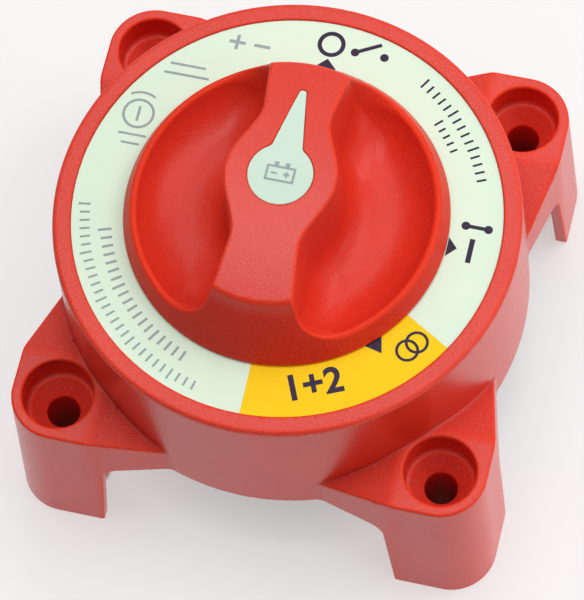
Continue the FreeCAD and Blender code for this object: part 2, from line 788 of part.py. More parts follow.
def knob_bowl():
    """Return the turned ring of space that the two finger bowls come from."""
    circle = size("bowl_circle")
    radius = size("bowl_radius")
    floor = size("bowl_floor")
    top = size("knob_top") + 2.0 * JOIN
    lip = size("lip_height") + LIP_RISE
    middle = floor + radius
    lip_inner = circle + math.sqrt(radius ** 2 - (middle - lip) ** 2)
    foot = size("boss_foot_radius")
    foot_height = middle - math.sqrt(radius ** 2 - (circle - foot) ** 2)
    arc = Part.Arc(
        Vector(lip_inner, 0, lip),
        Vector(circle, 0, floor),
        Vector(foot, 0, foot_height),
    ).toShape()
    rest = [
        Vector(foot, 0, foot_height),
        Vector(size("boss_radius") - JOIN, 0, foot_height),
        Vector(size("boss_radius") - JOIN, 0, top),
        Vector(size("knob_radius") + JOIN, 0, top),
        Vector(size("knob_radius") + JOIN, 0, lip),
        Vector(lip_inner, 0, lip),
    ]
    return revolved([arc] + lines(rest))


def grip_outline(widen, height):
    """Return the plan outline of the grip and its round boss at one height."""
    boss = size("boss_radius") + widen * size("boss_draft_share")
    blend = size("grip_blend") - widen
    low = Vector(size("grip_half_middle") + widen, 0, 0)
    high = Vector(size("grip_half_end") + widen, size("knob_radius"), 0)
    along = (high - low).normalize()
    outward = Vector(along.y, -along.x, 0)
    start = low + outward * blend
    lean = start.dot(along)
    reach = math.sqrt(lean ** 2 - start.dot(start) + (boss + blend) ** 2) - lean
    centre = start + along * reach
    on_boss = centre * (boss / (boss + blend))
    on_side = centre - outward * blend
    waist = centre + (on_boss + on_side - centre * 2.0).normalize() * blend

    def corner(point, flip_x, flip_y):
        return Vector(point.x * flip_x, point.y * flip_y, height)

    edges = [Part.makeLine(corner(high, -1, 1), corner(high, 1, 1))]
    for flip_x, order in ((1, (1, -1)), (-1, (-1, 1))):
        first, second = order
        edges.append(Part.makeLine(corner(high, flip_x, first), corner(on_side, flip_x, first)))
        path = [corner(point, flip_x, first) for point in (on_side, waist, on_boss)]
        edges.append(Part.Arc(*path).toShape())
        side = Vector(boss * flip_x, 0, height)
        path = [corner(on_boss, flip_x, first), side, corner(on_boss, flip_x, second)]
        edges.append(Part.Arc(*path).toShape())
        path = [corner(point, flip_x, second) for point in (on_boss, waist, on_side)]
        edges.append(Part.Arc(*path).toShape())
        edges.append(Part.makeLine(corner(on_side, flip_x, second), corner(high, flip_x, second)))
        if flip_x == 1:
            edges.append(Part.makeLine(corner(high, 1, -1), corner(high, -1, -1)))
    return Part.Wire(edges)


def inlay_outline(gap, bottom, top):
    """Return the pointer inlay's solid, narrowed by a gap on every side."""
    disc = upright(size("inlay_radius") - gap, bottom, top)
    root = size("inlay_root") - gap
    tip = size("inlay_tip_radius") - gap
    end = size("inlay_tip")
    corners = ((root, 0), (tip, end), (-tip, end), (-root, 0))
    pointer = prism([Vector(x, y, bottom) for x, y in corners], Vector(0, 0, top - bottom))
    nose = upright(tip, bottom, top, Vector(0, end, 0))
    return disc.fuse([pointer, nose])


def knob_shape():
    """Return the knob: a dished disc with a crowned grip across it."""
    top = size("knob_top") + JOIN
    envelope = knob_envelope()
    low = size("bowl_floor")
    grip = Part.makeLoft([grip_outline(size("grip_draft"), low), grip_outline(0.0, top)], True, True)
    body = envelope.cut(knob_bowl().cut(grip)).common(crown(0.0))
    lowest = grip_end_height() - JOIN
    body = body.makeFillet(size("grip_fillet"), edges_where(body, lambda p: p.z > lowest))
    pocket = inlay_outline(0.0, size("inlay_floor"), top)
    head = upright(size("knob_screw_head") + RUNNING_STEP, size("knob_screw_seat"), top)
    shank = upright(size("knob_screw_radius"), size("shaft_top") - JOIN, top)
    socket = drive_hole(size("knob_underside") - JOIN, size("shaft_top"))
    return body.cut([pocket, head, shank, socket])


def knob_screw_shape():
    """Return the screw that holds the knob to the shaft, with its driving slot."""
    seat = size("knob_screw_seat")
    head_top = seat + size("knob_screw_head_height")
    head = upright(size("knob_screw_head"), seat, head_top)
    shank = upright(size("knob_screw_radius"), size("shaft_top") - size("knob_screw_grip"), seat)
    slot = Part.makeBox(
        2.0 * size("knob_screw_head"),
        SLOT_WIDTH,
        SLOT_DEPTH,
        Vector(-size("knob_screw_head"), -SLOT_WIDTH / 2.0, head_top - SLOT_DEPTH),
    )
    return head.fuse(shank).cut(slot)


def pointer_inlay_shape():
    """Return the pale pointer that lies in the grip's top."""
    gap = size("inlay_gap")
    blank = inlay_outline(gap, size("inlay_floor"), size("knob_top") + JOIN)
    return blank.common(crown(size("inlay_sink")))


def detent_spring_shape():
    """Return one bowed leaf that presses the rotor's rim, with its rounded nose."""
    nose = size("detent_nose") - DETENT_CLEAR
    bottom = size("rotor_bottom") + JOIN
    top = size("rotor_top") - JOIN
    leaf_radius = size("rotor_radius") + nose
    back_radius = leaf_radius + LEAF_THICKNESS
    start = DETENT_ANGLE - LEAF_HALF
    leaf = sector(leaf_radius, back_radius, start, 2.0 * LEAF_HALF, bottom, top)
    bump = upright(nose - DETENT_CLEAR, bottom, top, polar(leaf_radius, DETENT_ANGLE))
    inside = upright(back_radius, bottom - JOIN, top + JOIN)
    foot_length = size("chamber_radius") - leaf_radius - LEAF_SEAT
    foot = Part.makeBox(foot_length, LEAF_THICKNESS, top - bottom, Vector(leaf_radius, 0, bottom))
    return leaf.fuse([bump.common(inside), turned(foot, start)])


def hex_nut(label, at):
    """Make one stud nut with its hole."""
    blank = doc.addObject("Part::Prism", label + "_blank")
    blank.Polygon = HEX_SIDES
    top = "Dim.plate_bottom - Dim.washer_thickness - Dim.lock_thickness"
    bottom = top + " - Dim.nut_thickness"
    bind(blank, Circumradius="Dim.nut_across_flats / 2 / cos(30)", Height="Dim.nut_thickness")
    bind(blank, Placement__Base__x=at[0], Placement__Base__y=at[1], Placement__Base__z=bottom)
    hole = cylinder(label + "_hole", "Dim.stud_radius", bottom, "Dim.nut_thickness", at[0], at[1])
    return cut(label, blank, hole)


def washer(label, radius, bottom, height, at):
    """Make one washer on a stud."""
    disc = cylinder(label + "_disc", radius, bottom, height, at[0], at[1])
    hole = cylinder(label + "_hole", "Dim.stud_radius", bottom, height, at[0], at[1])
    return cut(label, disc, hole)


def stud_formulas(number):
    """Return the formulas of one stud's place."""
    angle = STUD_ANGLE + RIGHT_ANGLE * number
    return (f"Dim.stud_circle * cos({angle})", f"Dim.stud_circle * sin({angle})")


def stud_hardware():
    """Make the washers and nuts on the four studs."""
    washer_bottom = "Dim.plate_bottom - Dim.washer_thickness"
    lock_bottom = washer_bottom + " - Dim.lock_thickness"
    flats = []
    locks = []
    nuts = []
    flat_sizes = ("Dim.washer_radius", washer_bottom, "Dim.washer_thickness")
    lock_sizes = ("Dim.lock_radius", lock_bottom, "Dim.lock_thickness")
    for number in range(len(QUARTERS)):
        at = stud_formulas(number)
        flats.append(washer(f"flat_washer_{number + 1}", *flat_sizes, at))
        ring = washer(f"lock_ring_{number + 1}", *lock_sizes, at)
        slit = doc.addObject("Part::Box", f"lock_slit_{number + 1}")
        bind(slit, Length="Dim.lock_radius", Width="Dim.lock_slit", Height="Dim.lock_thickness")
        bind(slit, Placement__Base__x=at[0], Placement__Base__y=at[1], Placement__Base__z=lock_bottom)
        locks.append(cut(f"lock_washer_{number + 1}", ring, slit))
        nuts.append(hex_nut(f"stud_nut_{number + 1}", at))
    return [group("stud_washers", flats), group("stud_lock_washers", locks), group("stud_nuts", nuts)]


def base_screws():
    """Make the four countersunk screws that hold the base plate."""
    screws = []
    circle = "Dim.plate_screw_circle"
    for number, angle in enumerate(QUARTERS, start=1):
        at = (f"{circle} * cos({angle})", f"{circle} * sin({angle})")
        head = doc.addObject("Part::Cone", f"base_screw_head_{number}")
        bind(head, Radius1="Dim.plate_screw_head", Radius2="Dim.plate_screw_radius")
        bind(head, Height="Dim.plate_screw_head - Dim.plate_screw_radius")
        bind(head, Placement__Base__x=at[0], Placement__Base__y=at[1])
        bind(head, Placement__Base__z="Dim.plate_bottom")
        shank = cylinder(
            f"base_screw_shank_{number}",
            "Dim.plate_screw_radius",
            "Dim.plate_bottom",
            "Dim.plate_screw_end - Dim.plate_bottom",
            at[0],
            at[1],
        )
        slot = doc.addObject("Part::Box", f"base_screw_slot_{number}")
        bind(slot, Length="2 * Dim.plate_screw_head", Width="Dim.screw_slot", Height="Dim.screw_slot")
        bind(
            slot,
            Placement__Base__x=at[0] + " - Dim.plate_screw_head",
            Placement__Base__y=at[1] + " - Dim.screw_slot / 2",
            Placement__Base__z="Dim.plate_bottom",
        )
        screws.append(cut(f"base_screw_{number}", fuse(f"base_screw_blank_{number}", [head, shank]), slot))
    return group("base_screws", screws)


def tube(label, inner, outer, bottom, height):
    """Make a plain tube on the shaft's axis."""
    outside = cylinder(label + "_outside", outer, bottom, height)
    bore = cylinder(label + "_bore", inner, bottom, height)
    return cut(label, outside, bore)


def shaft_seal():
    """Make the round sealing ring at the top of the bushing."""
    ring = doc.addObject("Part::Torus", "shaft_seal")
    bind(ring, Radius1="Dim.shaft_radius + Dim.running_gap + Dim.seal_section", Radius2="Dim.seal_section")
    bind(ring, Placement__Base__z="Dim.well_floor - Dim.seal_section - Dim.running_gap")
    return ring


def paired(label, shape):
    """Make the two features of a pair that face each other across the shaft."""
    return [solid_feature(f"{label}_1", shape), solid_feature(f"{label}_2", turned(shape, HALF_TURN))]


def label_parts():
    """Make the label's ring and its second field, which starts under the third mark."""
    bottom = size("label_plane") - size("label_thickness")
    inner = size("label_inner_radius")
    outer = size("label_radius")
    field = size("label_field_sweep")
    shapes = (
        ("label_ring", FIELD_START + field, FULL_TURN - field),
        ("label_field", FIELD_START, field),
    )
    return [
        solid_feature(name, sector(inner, outer, start, sweep, bottom, size("label_plane")))
        for name, start, sweep in shapes
    ]


def build():
    """Make every sub-part and return them in the order that they are stacked."""
    fill_sheet()
    shelf = "Dim.plate_bottom + Dim.plate_thickness"
    spring_low = size("bar_bottom") + size("bar_thickness")
    spring_top = size("spring_top")
    springs = Part.makeCompound([spring_shape(at, spring_low, spring_top) for at in spring_places()])
    leaf = detent_spring_shape()
    bushing_bore = "Dim.shaft_radius + Dim.running_gap"
    seal_space = "2 * Dim.seal_section + 2 * Dim.running_gap"
    bushing_length = "Dim.well_floor - Dim.hub_bottom - (" + seal_space + ")"
    gasket_sizes = ("Dim.gasket_inner_radius", "Dim.plate_radius", shelf, "Dim.gasket_thickness")
    thrust_sizes = ("Dim.thrust_inner", "Dim.thrust_outer", "Dim.well_floor", "Dim.thrust_thickness")
    parts = [
        solid_feature("housing", housing_shape()),
        solid_feature("base_plate", base_plate_shape()),
        ring_body("base_gasket", *gasket_sizes),
        base_screws(),
        solid_feature("contact_deck", contact_deck_shape()),
        tube("shaft_bushing", bushing_bore, "Dim.bushing_radius", "Dim.hub_bottom", bushing_length),
        shaft_seal(),
        ring_body("thrust_washer", *thrust_sizes),
        solid_feature("detent_springs", Part.makeCompound([leaf, turned(leaf, HALF_TURN)])),
        solid_feature("shaft", shaft_shape()),
        solid_feature("rotor", rotor_shape()),
        solid_feature("retaining_ring", retaining_ring_shape()),
        solid_feature("knob", knob_shape()),
        solid_feature("knob_screw", knob_screw_shape()),
        solid_feature("pointer_inlay", pointer_inlay_shape()),
    ]
    for number in range(len(QUARTERS)):
        parts.append(solid_feature(f"terminal_{number + 1}", terminal_shape(number)))
    parts += label_parts()
    parts += stud_hardware()
    parts += paired("contact_springs", springs)
    parts += paired("contact_bar", contact_bar_shape())
    doc.recompute()
    return parts


def check(parts):
    """Stop if any object of the document failed or any sub-part isn't a valid solid."""
    for item in doc.Objects:
        if "Invalid" in item.State or "Error" in item.State:
            raise RuntimeError(item.Label + " failed")
    for item in parts:
        if item.Shape.isNull() or not item.Shape.isValid() or not item.Shape.Solids:
            raise RuntimeError(item.Label + " has no valid solid")


def export(parts):
    """Write one STEP file for each sub-part."""
    os.makedirs("parts", exist_ok=True)
    for item in parts:
        item.Shape.exportStep(os.path.join("parts", item.Label + ".step"))


sub_parts = build()
check(sub_parts)
export(sub_parts)
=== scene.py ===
"""Looks of the battery switch: its moulded housing, knob, label and metalwork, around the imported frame.

Shapes are worked out in millimetres and written in metres.  Z is the shaft's axis and OFF is at +Y.
"""
import math

import bmesh
import bpy
import numpy as np
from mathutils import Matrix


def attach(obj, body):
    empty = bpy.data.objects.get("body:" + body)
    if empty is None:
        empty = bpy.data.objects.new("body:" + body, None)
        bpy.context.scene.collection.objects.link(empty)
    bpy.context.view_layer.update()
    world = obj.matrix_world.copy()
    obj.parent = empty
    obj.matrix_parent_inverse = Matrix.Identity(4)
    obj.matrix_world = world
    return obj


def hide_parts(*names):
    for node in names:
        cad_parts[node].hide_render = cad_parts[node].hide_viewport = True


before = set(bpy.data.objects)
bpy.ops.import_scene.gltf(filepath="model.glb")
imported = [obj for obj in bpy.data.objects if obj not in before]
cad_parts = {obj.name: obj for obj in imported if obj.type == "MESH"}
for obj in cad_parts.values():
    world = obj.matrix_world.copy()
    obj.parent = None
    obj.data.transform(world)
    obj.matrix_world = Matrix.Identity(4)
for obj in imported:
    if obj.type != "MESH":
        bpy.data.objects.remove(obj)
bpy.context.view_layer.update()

import openvdb
from mathutils import Matrix, Vector

MM = 0.001

# housing, in millimetres
FOOT_HALF = 49.1
LUG_HALF = 47.3
LUG_TOP = 39.0
LUG_CORNER = 9.2
HOLE_AT = 38.1
HOLE_RADIUS = 3.25
BORE_RADIUS = 7.05
BORE_DEPTH = 6.8
SEAT_RADIUS = 6.1
SEAT_DEPTH = 3.1
CREASE = 30.0
WEB_TIP_ALONG = 14.95
WEB_TIP_IN = 3.9
WEB_DROP = 5.7
LEG_WALL = 2.5
ARCH_FOOT = 30.2
ARCH_TOP = 28.1
ARCH_CORNER = 2.6
COLUMN_RADIUS = 6.4
RIB_WIDTH = 2.0
DRUM_BOTTOM = 25.1
DRUM_LOW_RADIUS = 46.55
DRUM_TOP_RADIUS = 45.3
RIM_TOP = 59.0
RIM_ROUND = 1.0
EDGE_ROUND = 0.5
LABEL_INNER = 30.3
LABEL_OUTER = 41.65
LABEL_TOP = 58.6
LABEL_THICKNESS = 0.5
LABEL_GAP = 0.05
LABEL_EDGE = 0.25
LABEL_BEVEL = 0.06
WELL_RADIUS = 29.9
WELL_FLOOR = 54.5
CEILING = 51.0
CHAMBER_RADIUS = 41.0
RECESS_RADIUS = 43.3
RECESS_TOP = 30.6
HUB_RADIUS = 9.5
HUB_BOTTOM = 46.6
BUSHING_RADIUS = 7.2
BOSS_AT = 36.6
BOSS_RADIUS = 3.8
STOP_RADIUS = 17.0
STOP_HALF_WIDTH = 3.0
STOP_BOTTOM = 45.5
STOP_STARTS = (6.8, -153.8)
STOP_SWEEP = 12.0
WEB_ROUND = 0.35
CREASE_ROUND = 0.3
ARCH_ROUND = 0.4
HOLLOW_ROUND = 1.2
LEG_FILLET = 0.4
DRUM_FILLET = 0.5
SMALL_ROUND = 0.2
FIELD_START = -88.9
FIELD_SWEEP = 59.2
PRINT_THICKNESS = 0.03
PRINT_OVERLAP = 0.004
DIGIT_WEIGHT = 0.18
DISC_SIDES = 40

# knob, in millimetres
KNOB_DISC_RADIUS = 29.3
KNOB_UNDERSIDE = 55.1
KNOB_FOOT = 58.9
KNOB_FOOT_RADIUS = 31.5
KNOB_BAND = 0.6
LIP_RADIUS = 29.75
LIP_HEIGHT = 63.4
BOWL_CIRCLE = 20.3
BOWL_FLOOR = 58.1
BOWL_RADIUS = 9.3
BOSS_TOP_RADIUS = 10.7
GRIP_MIDDLE = 5.1
GRIP_SPREAD = 2.9
GRIP_DRAFT = 2.3
GRIP_END = 25.3
GRIP_END_HEIGHT = 73.78
GRIP_BLEND = 4.6
BLEND_REACH = (12.0, 27.0)
BLEND_SIZES = (5.5, 7.3)
GRIP_FLARE = 2.2
FLARE_LEAD = 0.7
GRIP_SIDE_SCALE = 0.93
KNOB_TOP = 77.5
CROWN_RADIUS = 88.0
TOP_ROUND = 0.5
INLAY_RADIUS = 6.3
INLAY_ROOT = 4.05
INLAY_TIP_RADIUS = 0.8
INLAY_TIP = 17.9
INLAY_FLOOR = 74.9
INLAY_GAP = 0.06
INLAY_SINK = 0.12
INLAY_FILLET = 0.4
INLAY_ROUND = 0.15
POCKET_ROUND = 0.12
SIGN_SINK = 0.04
LIP_ROUND = 0.45
SHAFT_RADIUS = 5.0
SHAFT_TOP = 67.0
SCREW_HEAD_RADIUS = 4.2
SCREW_SEAT = 71.5
SCREW_RADIUS = 2.0
SCREW_END = 66.0

# how far a cutting shape runs past what it cuts, and the meshes' fineness, in millimetres
PAST = 1.0
HOUSING_STEP = 0.3
KNOB_STEP = 0.28
INLAY_STEP = 0.15

# red plastic: its colours, and how smooth its walls, grip and bowls are from 0 to 1
RED = (0.66, 0.022, 0.008)
RED_CLOUD = (0.72, 0.028, 0.010)
RED_GRAIN = (0.90, 0.15, 0.11)
# the edge red is a painted highlight, mixed in along rounded outer edges
RED_EDGE_PAINTED_HIGHLIGHT = (0.86, 0.045, 0.012)
# the corner red is painted shade, mixed in where the surface bends inwards in corners and creases
RED_CORNER_PAINTED_SHADE = (0.42, 0.008, 0.004)
WALL_SMOOTHNESS = 0.85
GRIP_SMOOTHNESS = 0.4
BOWL_SMOOTHNESS = 0.55

# where the finish changes: a wall's tilt, and depths in millimetres below the knob's top and its envelope
WALL_TILT = (0.15, 0.4)
TOP_DEPTH = 0.8
TOP_FADE = 2.0
SKIN_DEPTH = 0.3
SKIN_FADE = 1.5

# how much of the grip's dullness the bowls lose
BOWL_SHINE = 0.4

# floor, sky and lamps, in metres and watts: each lamp has a name, a place, a size and a power
FLOOR_HALF = 4.0
FLOOR_DROP = 0.0002
FLOOR_COLOUR = (0.37, 0.37, 0.37)
FLOOR_SECOND = (0.39, 0.39, 0.39)
# the floor's glow is painted light; its colour and glow fall off farther out over FLOOR_FADE, and the glow
# is dimmed as painted shadow under the switch's middle over MIDDLE_SHADE and under its screw holes over
# HOLE_SHADE
FLOOR_FAR = (0.25, 0.25, 0.25)
FLOOR_GLOW = 0.53
GLOW_COLOUR = (1.0, 0.985, 0.98)
GLOW_FAR = (0.45, 0.445, 0.44)
FLOOR_FADE = (0.13, 0.5)
MIDDLE_SHADE = (0.012, 0.048)
HOLE_SHADE = (0.0055, 0.0070)
SKY_TOWARDS = (0.1, 0.45, 0.88)
SKY_DARK = 0.02
SKY_BRIGHT = 0.66
SKY_RANGE = (-0.1, 0.8)
LAMP_AIM = (0.0, 0.0, 0.04)
LAMPS = (
    ("key", (0.75, 0.45, 1.15), (0.6, 0.6), 4.5),
    ("top", (-0.05, 0.1, 1.35), (0.6, 0.5), 5.3),
    ("side", (1.1, -0.1, 0.35), (0.8, 0.5), 2.5),
    ("back", (-0.18, 0.6, 1.1), (0.2, 0.2), 0.7),
)

# camera: place in millimetres, angles in degrees
CAMERA_PLACE = (104.07, -263.91, 687.46)
CAMERA_AZIMUTH = 21.843
CAMERA_HEIGHT = 67.084
CAMERA_ROLL = -9.157
CAMERA_LENS = 215.5
CAMERA_SENSOR = 36.0


# ---------------------------------------------------------------- distance fields

def both(first, second, radius):
    """Return the field of what two shapes share, with that edge rounded."""
    a = np.maximum(first + radius, 0.0)
    b = np.maximum(second + radius, 0.0)
    return np.minimum(np.maximum(first, second), -radius) + np.hypot(a, b)


def either(first, second, radius):
    """Return the field of two joined shapes, with a fillet between them."""
    return -both(-first, -second, radius)


def without(shape, tool, radius):
    """Return the field of a shape with a tool cut out of it, its edge rounded."""
    return both(shape, -tool, radius)


def capped(shape, low, high, z):
    """Return the field of a shape cut off at two heights, with sharp edges."""
    return np.maximum(shape, np.maximum(low - z, z - high))


def wedge(x, y, start, sweep):
    """Return the field of the wedge of space between two angles from the Z axis."""
    middle = math.radians(start + sweep / 2.0)
    half = math.radians(sweep / 2.0)
    along = x * math.cos(middle) + y * math.sin(middle)
    across = np.abs(y * math.cos(middle) - x * math.sin(middle))
    return across * math.cos(half) - along * math.sin(half)


def lug_block(a, b, z):
    """Return the field of the square block of lugs and webs, before its hollows."""
    draft = (FOOT_HALF - LUG_HALF) / LUG_TOP
    half = FOOT_HALF - draft * z
    turn = half - LUG_CORNER
    corner_a = np.maximum(a - turn, 0.0)
    corner_b = np.maximum(b - turn, 0.0)
    plan = np.hypot(corner_a, corner_b) + np.minimum(np.maximum(a, b) - turn, 0.0) - LUG_CORNER
    web_along = CREASE - WEB_TIP_ALONG
    web_length = math.hypot(web_along, WEB_TIP_IN)
    web = ((a - half) * web_along - (b - CREASE) * WEB_TIP_IN) / web_length
    slope_length = math.hypot(web_along, WEB_DROP)
    slope = ((z - LUG_TOP) * web_along + (CREASE - b) * WEB_DROP) / slope_length
    sides = both(plan, web, WEB_ROUND)
    top = both(z - LUG_TOP, slope, CREASE_ROUND)
    return both(sides, top, EDGE_ROUND), plan


def legs_field(a, b, z):
    """Return the field of the lugs, webs and hollow legs."""
    block, plan = lug_block(a, b, z)
    arch = ARCH_FOOT - (ARCH_FOOT - ARCH_TOP) / DRUM_BOTTOM * z
    opening = both(b - arch, z - DRUM_BOTTOM, ARCH_CORNER)
    hollow = both(plan + LEG_WALL, z - DRUM_BOTTOM, HOLLOW_ROUND)
    shell = without(without(block, opening, ARCH_ROUND), hollow, CREASE_ROUND)
    column = np.hypot(a - HOLE_AT, b - HOLE_AT) - COLUMN_RADIUS
    rib = np.maximum(np.abs(b - HOLE_AT) - RIB_WIDTH / 2.0, HOLE_AT - a)
    inside = np.maximum(either(column, rib, DRUM_FILLET), plan + LEG_WALL / 2.0)
    inside = np.maximum(inside, z - DRUM_BOTTOM - PAST)
    return both(either(shell, inside, LEG_FILLET), -z, CREASE_ROUND)


def chamber_field(x, y, a, b, rho, z):
    """Return the field of the mechanism's room, with its hub, bosses and stops left standing."""
    room = capped(rho - CHAMBER_RADIUS, DRUM_BOTTOM, CEILING, z)
    recess = capped(rho - RECESS_RADIUS, DRUM_BOTTOM - 5.0 * PAST, RECESS_TOP, z)
    behind = np.where(a > BOSS_AT, b, CHAMBER_RADIUS)
    boss = np.minimum(np.hypot(a - BOSS_AT, b), behind) - BOSS_RADIUS
    hub = np.maximum(rho - HUB_RADIUS, HUB_BOTTOM - z)
    ring = np.maximum(np.abs(rho - STOP_RADIUS) - STOP_HALF_WIDTH, STOP_BOTTOM - z)
    stops = np.minimum(*(wedge(x, y, start, STOP_SWEEP) for start in STOP_STARTS))
    keep = np.minimum(np.minimum(boss, hub), np.maximum(ring, stops))
    return np.minimum(np.maximum(room, -keep), recess)


def housing_field(x, y, z):
    """Return the field of the moulded housing."""
    size_x = np.abs(x)
    size_y = np.abs(y)
    a = np.maximum(size_x, size_y)
    b = np.minimum(size_x, size_y)
    rho = np.hypot(x, y)
    lean = (DRUM_LOW_RADIUS - DRUM_TOP_RADIUS) / (RIM_TOP - DRUM_BOTTOM)
    wall = rho - DRUM_LOW_RADIUS + lean * (z - DRUM_BOTTOM)
    drum = both(wall, z - RIM_TOP, RIM_ROUND)
    drum = both(drum, DRUM_BOTTOM - z, ARCH_ROUND)
    shape = either(drum, legs_field(a, b, z), DRUM_FILLET)
    recess = np.maximum(rho - LABEL_OUTER - LABEL_GAP, LABEL_TOP - LABEL_THICKNESS - z)
    shape = without(shape, recess, LABEL_EDGE)
    shape = np.maximum(shape, -np.maximum(rho - WELL_RADIUS, WELL_FLOOR - z))
    shape = np.maximum(shape, -np.maximum(rho - BUSHING_RADIUS, HUB_BOTTOM - PAST - z))
    shape = np.maximum(shape, -chamber_field(x, y, a, b, rho, z))
    from_hole = np.hypot(a - HOLE_AT, b - HOLE_AT)
    seat_top = LUG_TOP - BORE_DEPTH
    bore = both(from_hole - BORE_RADIUS, seat_top - z, BORE_RADIUS - SEAT_RADIUS)
    seat_slope = (SEAT_RADIUS - HOLE_RADIUS) / SEAT_DEPTH
    cone = (from_hole - SEAT_RADIUS + seat_slope * (seat_top - z)) / math.hypot(1.0, seat_slope)
    seat = np.maximum(cone, z - seat_top - PAST)
    through = from_hole - HOLE_RADIUS
    bore = either(bore, either(through, seat, SMALL_ROUND), SMALL_ROUND)
    return without(shape, bore, EDGE_ROUND)


def inlay_field(x, y, gap):
    """Return the plan field of the pointer inlay's outline, narrowed by a gap."""
    disc = np.hypot(x, y) - INLAY_RADIUS
    lean = (INLAY_ROOT - INLAY_TIP_RADIUS) / INLAY_TIP
    side = (np.abs(x) - INLAY_ROOT + lean * y) / math.hypot(1.0, lean)
    body = np.maximum(np.maximum(side, y - INLAY_TIP), -y)
    nose = np.hypot(x, y - INLAY_TIP) - INLAY_TIP_RADIUS
    return either(disc, np.minimum(body, nose), INLAY_FILLET) + gap


def crown_field(y, z):
    """Return the field of the space under the grip's crowned top."""
    return np.hypot(y, z - KNOB_TOP + CROWN_RADIUS) - CROWN_RADIUS


def outside_cone(rho, z, foot, end):
    """Return the field of a cone about the Z axis through two points, each a radius and a height."""
    across = foot[0] - end[0]
    rise = end[1] - foot[1]
    return ((rho - foot[0]) * rise + (z - foot[1]) * across) / math.hypot(rise, across)


def knob_parts(x, y, z):
    """Return the fields that the knob is made of: bowls, grip and envelope."""
    rho = np.hypot(x, y)
    outer = np.maximum(rho - BOWL_CIRCLE, 0.0)
    slot = np.hypot(outer, np.minimum(z - BOWL_FLOOR - BOWL_RADIUS, 0.0)) - BOWL_RADIUS
    above = np.maximum(LIP_HEIGHT - z, BOWL_CIRCLE - rho)
    bowls = either(slot, above, LIP_ROUND)
    widen = GRIP_DRAFT * (KNOB_TOP + PAST - z) / (KNOB_TOP + PAST - BOWL_FLOOR)
    spread = GRIP_SPREAD / KNOB_FOOT_RADIUS
    flare = np.interp(rho, (GRIP_END - FLARE_LEAD, KNOB_FOOT_RADIUS), (0.0, GRIP_FLARE))
    side = (np.abs(x) - GRIP_MIDDLE - spread * np.abs(y) - widen - flare) * GRIP_SIDE_SCALE
    boss = rho - BOSS_TOP_RADIUS - widen / 2.0
    grip = either(side, boss, GRIP_BLEND)
    upper = outside_cone(rho, z, (LIP_RADIUS, LIP_HEIGHT), (GRIP_END, GRIP_END_HEIGHT))
    lower = outside_cone(rho, z, (KNOB_FOOT_RADIUS, KNOB_FOOT + KNOB_BAND), (LIP_RADIUS, LIP_HEIGHT))
    envelope = np.maximum(np.maximum(upper, lower), rho - KNOB_FOOT_RADIUS)
    return rho, bowls, grip, envelope


def knob_field(x, y, z):
    """Return the field of the knob: a dished disc with a crowned grip across it."""
    rho, bowls, grip, envelope = knob_parts(x, y, z)
    shape = either(-bowls, grip, np.interp(rho, BLEND_REACH, BLEND_SIZES))
    disc = capped(rho - KNOB_DISC_RADIUS, KNOB_UNDERSIDE, KNOB_FOOT + PAST, z)
    shape = both(shape, np.minimum(both(envelope, KNOB_FOOT - z, SMALL_ROUND), disc), TOP_ROUND)
    shape = both(shape, crown_field(y, z), TOP_ROUND)
    pocket = np.maximum(inlay_field(x, y, 0.0), INLAY_FLOOR - z)
    shape = without(shape, pocket, POCKET_ROUND)
    shaft = capped(rho - SHAFT_RADIUS, KNOB_UNDERSIDE - PAST, SHAFT_TOP, z)
    head = np.maximum(rho - SCREW_HEAD_RADIUS, SCREW_SEAT - z)
    shank = np.maximum(rho - SCREW_RADIUS, SCREW_END - z)
    return np.maximum(shape, -np.minimum(np.minimum(shaft, head), shank))


def inlay_piece_field(x, y, z):
    """Return the field of the pointer inlay."""
    shape = both(inlay_field(x, y, INLAY_GAP), crown_field(y, z) + INLAY_SINK, INLAY_ROUND)
    return np.maximum(shape, INLAY_FLOOR - z)


# ---------------------------------------------------------------- meshes from fields

def gradient(field, points, step):
    """Return a field's slope at some points."""
    slope = np.empty_like(points)
    for axis in range(3):
        move = np.zeros(3)
        move[axis] = step
        ahead = (points + move).T
        behind = (points - move).T
        slope[:, axis] = (field(*ahead) - field(*behind)) / (2.0 * step)
    return slope


def curvature(field, points, step):
    """Return how sharply a field's surface bends: above zero on outer edges, below in corners."""
    total = -6.0 * field(*points.T)
    for axis in range(3):
        for sign in (-step, step):
            move = np.zeros(3)
            move[axis] = sign
            total = total + field(*(points + move).T)
    return total / step ** 2


def sampled(field, low, high, step):
    """Return a field's values on a grid, worked out a few layers at a time."""
    axes = [np.arange(start, end + step, step, dtype=np.float32) for start, end in zip(low, high)]
    values = np.empty([len(axis) for axis in axes], np.float32)
    x = axes[0][:, None, None]
    y = axes[1][None, :, None]
    layers = 8
    for first in range(0, len(axes[2]), layers):
        z = axes[2][None, None, first:first + layers]
        values[:, :, first:first + layers] = field(x, y, z)
    return values


